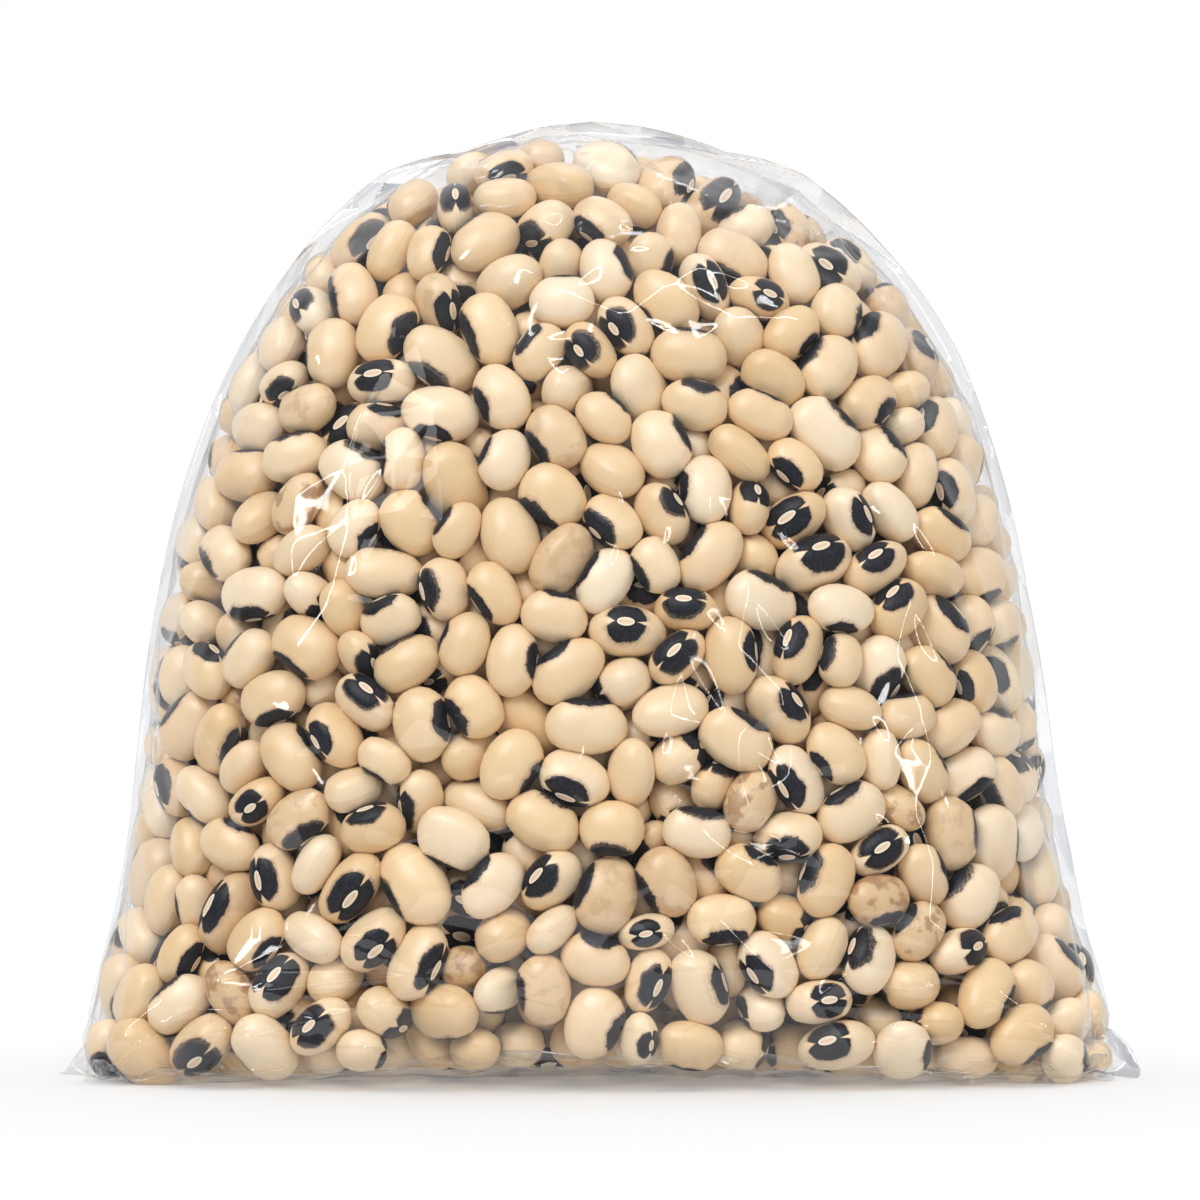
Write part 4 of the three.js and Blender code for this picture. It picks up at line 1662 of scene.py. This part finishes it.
@dataclass
class Studio:
    """A white paper floor, soft lights and the camera in front of the bag."""

    form: BagForm
    lens: float = 180.0
    floor_size: float = 6.0
    frame_width: float = 151.8 * MM
    look_height: float = 59.6 * MM
    dome: float = 0.24
    behind_range: Pair = (-0.3, 0.4)
    behind_glow: float = 0.85
    room_glow: float = 0.1
    above_range: Pair = (0.5, 0.9)
    above_glow: float = 0.35
    crease_light: Sun = ("crease_light", (-10, 58), 3.0, 150)
    paper_glow: Sun = ("paper_glow", (0, 88), 0.75, 10)
    suns: tuple[Sun, ...] = (
        ("key_light", (-32, 46), 2.08, 30),
        ("fill_light", (40, 35), 0.96, 60),
        ("top_light", (180, 80), 0.74, 60),
    )
    paper_suns: tuple[Sun, ...] = (
        ("paper_top", (180, 62), 2.2, 140),
        ("paper_front", (0, 18), 1.6, 34),
    )
    panels: tuple[tuple[str, Triple, Pair, float], ...] = (
        ("left_strip", (-0.68, -0.55, 0.5), (0.03, 0.4), 13.0),
        ("right_strip", (0.72, -0.4, 0.12), (0.028, 0.4), 12.0),
        ("high_strip", (0.15, -0.5, 0.85), (0.5, 0.028), 12.0),
        ("near_strip", (0.3, -0.9, 0.3), (0.022, 0.3), 9.0),
        ("left_box", (-0.5, -0.66, 0.62), (0.2, 0.2), 2.0),
    )
    lit: list[bpy.types.Object] = field(default_factory=list)
    mirrors: list[bpy.types.Object] = field(default_factory=list)

    def build(self) -> None:
        """Sets up the floor, the world, the lights and the camera."""
        floor = self.floor()
        self.world()
        for settings in self.suns:
            self.sun(*settings, self.lit)
        for settings in self.paper_suns:
            self.sun(*settings, [floor])
        self.sun(*self.paper_glow, [floor]).data.use_shadow = False
        self.sun(*self.crease_light, self.mirrors).visible_glossy = False
        for settings in self.panels:
            self.panel(*settings)
        self.camera()
        scene = bpy.context.scene
        scene.view_settings.view_transform = "Standard"
        scene.view_settings.look = "None"

    def floor(self) -> bpy.types.Object:
        """Lays the paper."""
        bpy.ops.object.select_all(action="DESELECT")
        bpy.ops.mesh.primitive_plane_add(size=self.floor_size)
        floor = bpy.context.object
        floor.name = "studio_floor"
        floor.data.materials.append(PaperFinish().material())
        return floor

    def world(self) -> None:
        """Makes the room white behind the bag and dim in what the film mirrors."""
        world = bpy.data.worlds.new("studio")
        bpy.context.scene.world = world
        world.use_nodes = True
        sketch = NodeSketch(world.node_tree)
        rays = sketch.add("LightPath").outputs
        way = sketch.add("SeparateXYZ", Vector=sketch.add("TexCoord").outputs["Generated"]).outputs
        behind = sketch.step(way[1], *self.behind_range)
        above = sketch.step(way[2], *self.above_range)
        mirrored = sketch.math("MULTIPLY_ADD", behind, self.behind_glow, self.room_glow)
        mirrored = sketch.math("MULTIPLY_ADD", above, self.above_glow, mirrored)
        change = sketch.math("SUBTRACT", mirrored, self.dome)
        dim = sketch.math("MULTIPLY_ADD", rays["Is Glossy Ray"], change, self.dome)
        strength = sketch.math("MULTIPLY_ADD", rays["Is Camera Ray"], 1 - self.dome, dim)
        light = sketch.add("Background", Color=(1.0, 1.0, 1.0), Strength=strength)
        sketch.add("OutputWorld", Surface=light.outputs[0])

    def sun(
        self,
        name: str,
        place: Pair,
        strength: float,
        spread: float,
        pieces: Iterable[bpy.types.Object],
    ) -> bpy.types.Object:
        """Adds a far soft light that falls on some pieces only.

        Args:
            name: The light's name.
            place: Degrees round from the front towards the right, and degrees up.
            strength: Light on a surface that faces it.
            spread: How wide it looks, in degrees.
            pieces: What it falls on.

        Returns:
            The light.
        """
        data = bpy.data.lights.new(name, "SUN")
        data.energy = strength
        data.angle = math.radians(spread)
        turn, rise = (math.radians(value) for value in place)
        way = Vector((math.sin(turn) * math.cos(rise), -math.cos(turn) * math.cos(rise), math.sin(rise)))
        lamp = self.lamp(data, way, way)
        self.link(lamp, pieces)
        return lamp

    def panel(
        self, name: str, place: Triple, size: Pair, glow: float
    ) -> None:
        """Adds a softbox that the film mirrors.

        Args:
            name: The light's name.
            place: Where it stands.
            size: Its width and height.
            glow: How bright its face is, against the white background.
        """
        data = bpy.data.lights.new(name, "AREA")
        data.shape = "RECTANGLE"
        data.size, data.size_y = size
        data.energy = glow * math.pi * size[0] * size[1]
        lamp = self.lamp(data, Vector(place), Vector(place) - Vector((0, 0, self.form.height / 2)))
        self.link(lamp, self.mirrors)

    def lamp(self, data: bpy.types.Light, place: Vector, away: Vector) -> bpy.types.Object:
        """Stands a light in the scene with its back to a direction."""
        lamp = bpy.data.objects.new(data.name, data)
        lamp.location = place
        lamp.rotation_euler = away.to_track_quat("Z", "Y").to_euler()
        bpy.context.scene.collection.objects.link(lamp)
        return lamp

    def link(self, lamp: bpy.types.Object, pieces: Iterable[bpy.types.Object]) -> None:
        """Lets a light fall on some pieces only."""
        group = bpy.data.collections.new(lamp.name)
        for piece in pieces:
            group.objects.link(piece)
        lamp.light_linking.receiver_collection = group

    def camera(self) -> None:
        """Places the camera level with the middle of the bag."""
        data = bpy.data.cameras.new("camera")
        data.lens = self.lens
        camera = bpy.data.objects.new("camera", data)
        away = self.frame_width / 2 / (data.sensor_width / 2 / self.lens)
        camera.location = (0, -away, self.look_height)
        camera.rotation_euler = Vector((0, 1, 0)).to_track_quat("-Z", "Y").to_euler()
        data.clip_start = 0.01
        bpy.context.scene.collection.objects.link(camera)
        bpy.context.scene.camera = camera


def search_tree(pieces: Iterable[bpy.types.Object]) -> BVHTree:
    """Builds one search tree of several pieces."""
    points, faces, count = [], [], 0
    for piece in pieces:
        points.append(points_of(piece))
        faces.append(quads_of(piece) + count)
        count += len(points[-1])
    return BVHTree.FromPolygons(np.concatenate(points).tolist(), np.concatenate(faces).tolist())


def dress(piece: bpy.types.Object) -> None:
    """Ties a finished piece to the frame.

    Args:
        piece: The piece.
    """
    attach(piece, BODY)
    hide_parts(NODE)
    LOG.info("%s: %d faces", piece.name, len(piece.data.polygons))


def main() -> None:
    """Builds the bag and its studio."""
    logging.basicConfig(level=logging.INFO, format="%(name)s %(relativeCreated)d: %(message)s")
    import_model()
    form = BagForm.from_frame(*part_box(NODE))
    room = Room(form)
    LOG.info("room measured")
    heap = Heap(room)
    heap.settle()
    beans = Beans(heap)
    beans.build()
    solid = [*beans.pieces, Core(room).build()]
    for piece in solid:
        dress(piece)
    touch = search_tree(beans.pieces)
    film = ClearFilm("clear_film").material()
    clear = []
    for name, side, count in (("front_film", Side.FRONT, 300), ("back_film", Side.BACK, 240)):
        sheet = FilmSheet(name, side, form, count, touch).build()
        sheet.data.materials.append(film)
        clear.append(sheet)
    edge = FilmEdge(form).build()
    # the weld's film takes a darker painted grey shade on its leaning facets
    welded = ClearFilm("welded_film", pleat_shade=(0.72, 0.725, 0.75), crease_share=0.8)
    edge.data.materials.append(welded.material())
    clear.append(edge)
    for piece in clear:
        piece.visible_shadow = piece.visible_diffuse = False
        dress(piece)
    Studio(form, lit=solid, mirrors=clear).build()


if __name__ == "__main__":
    main()
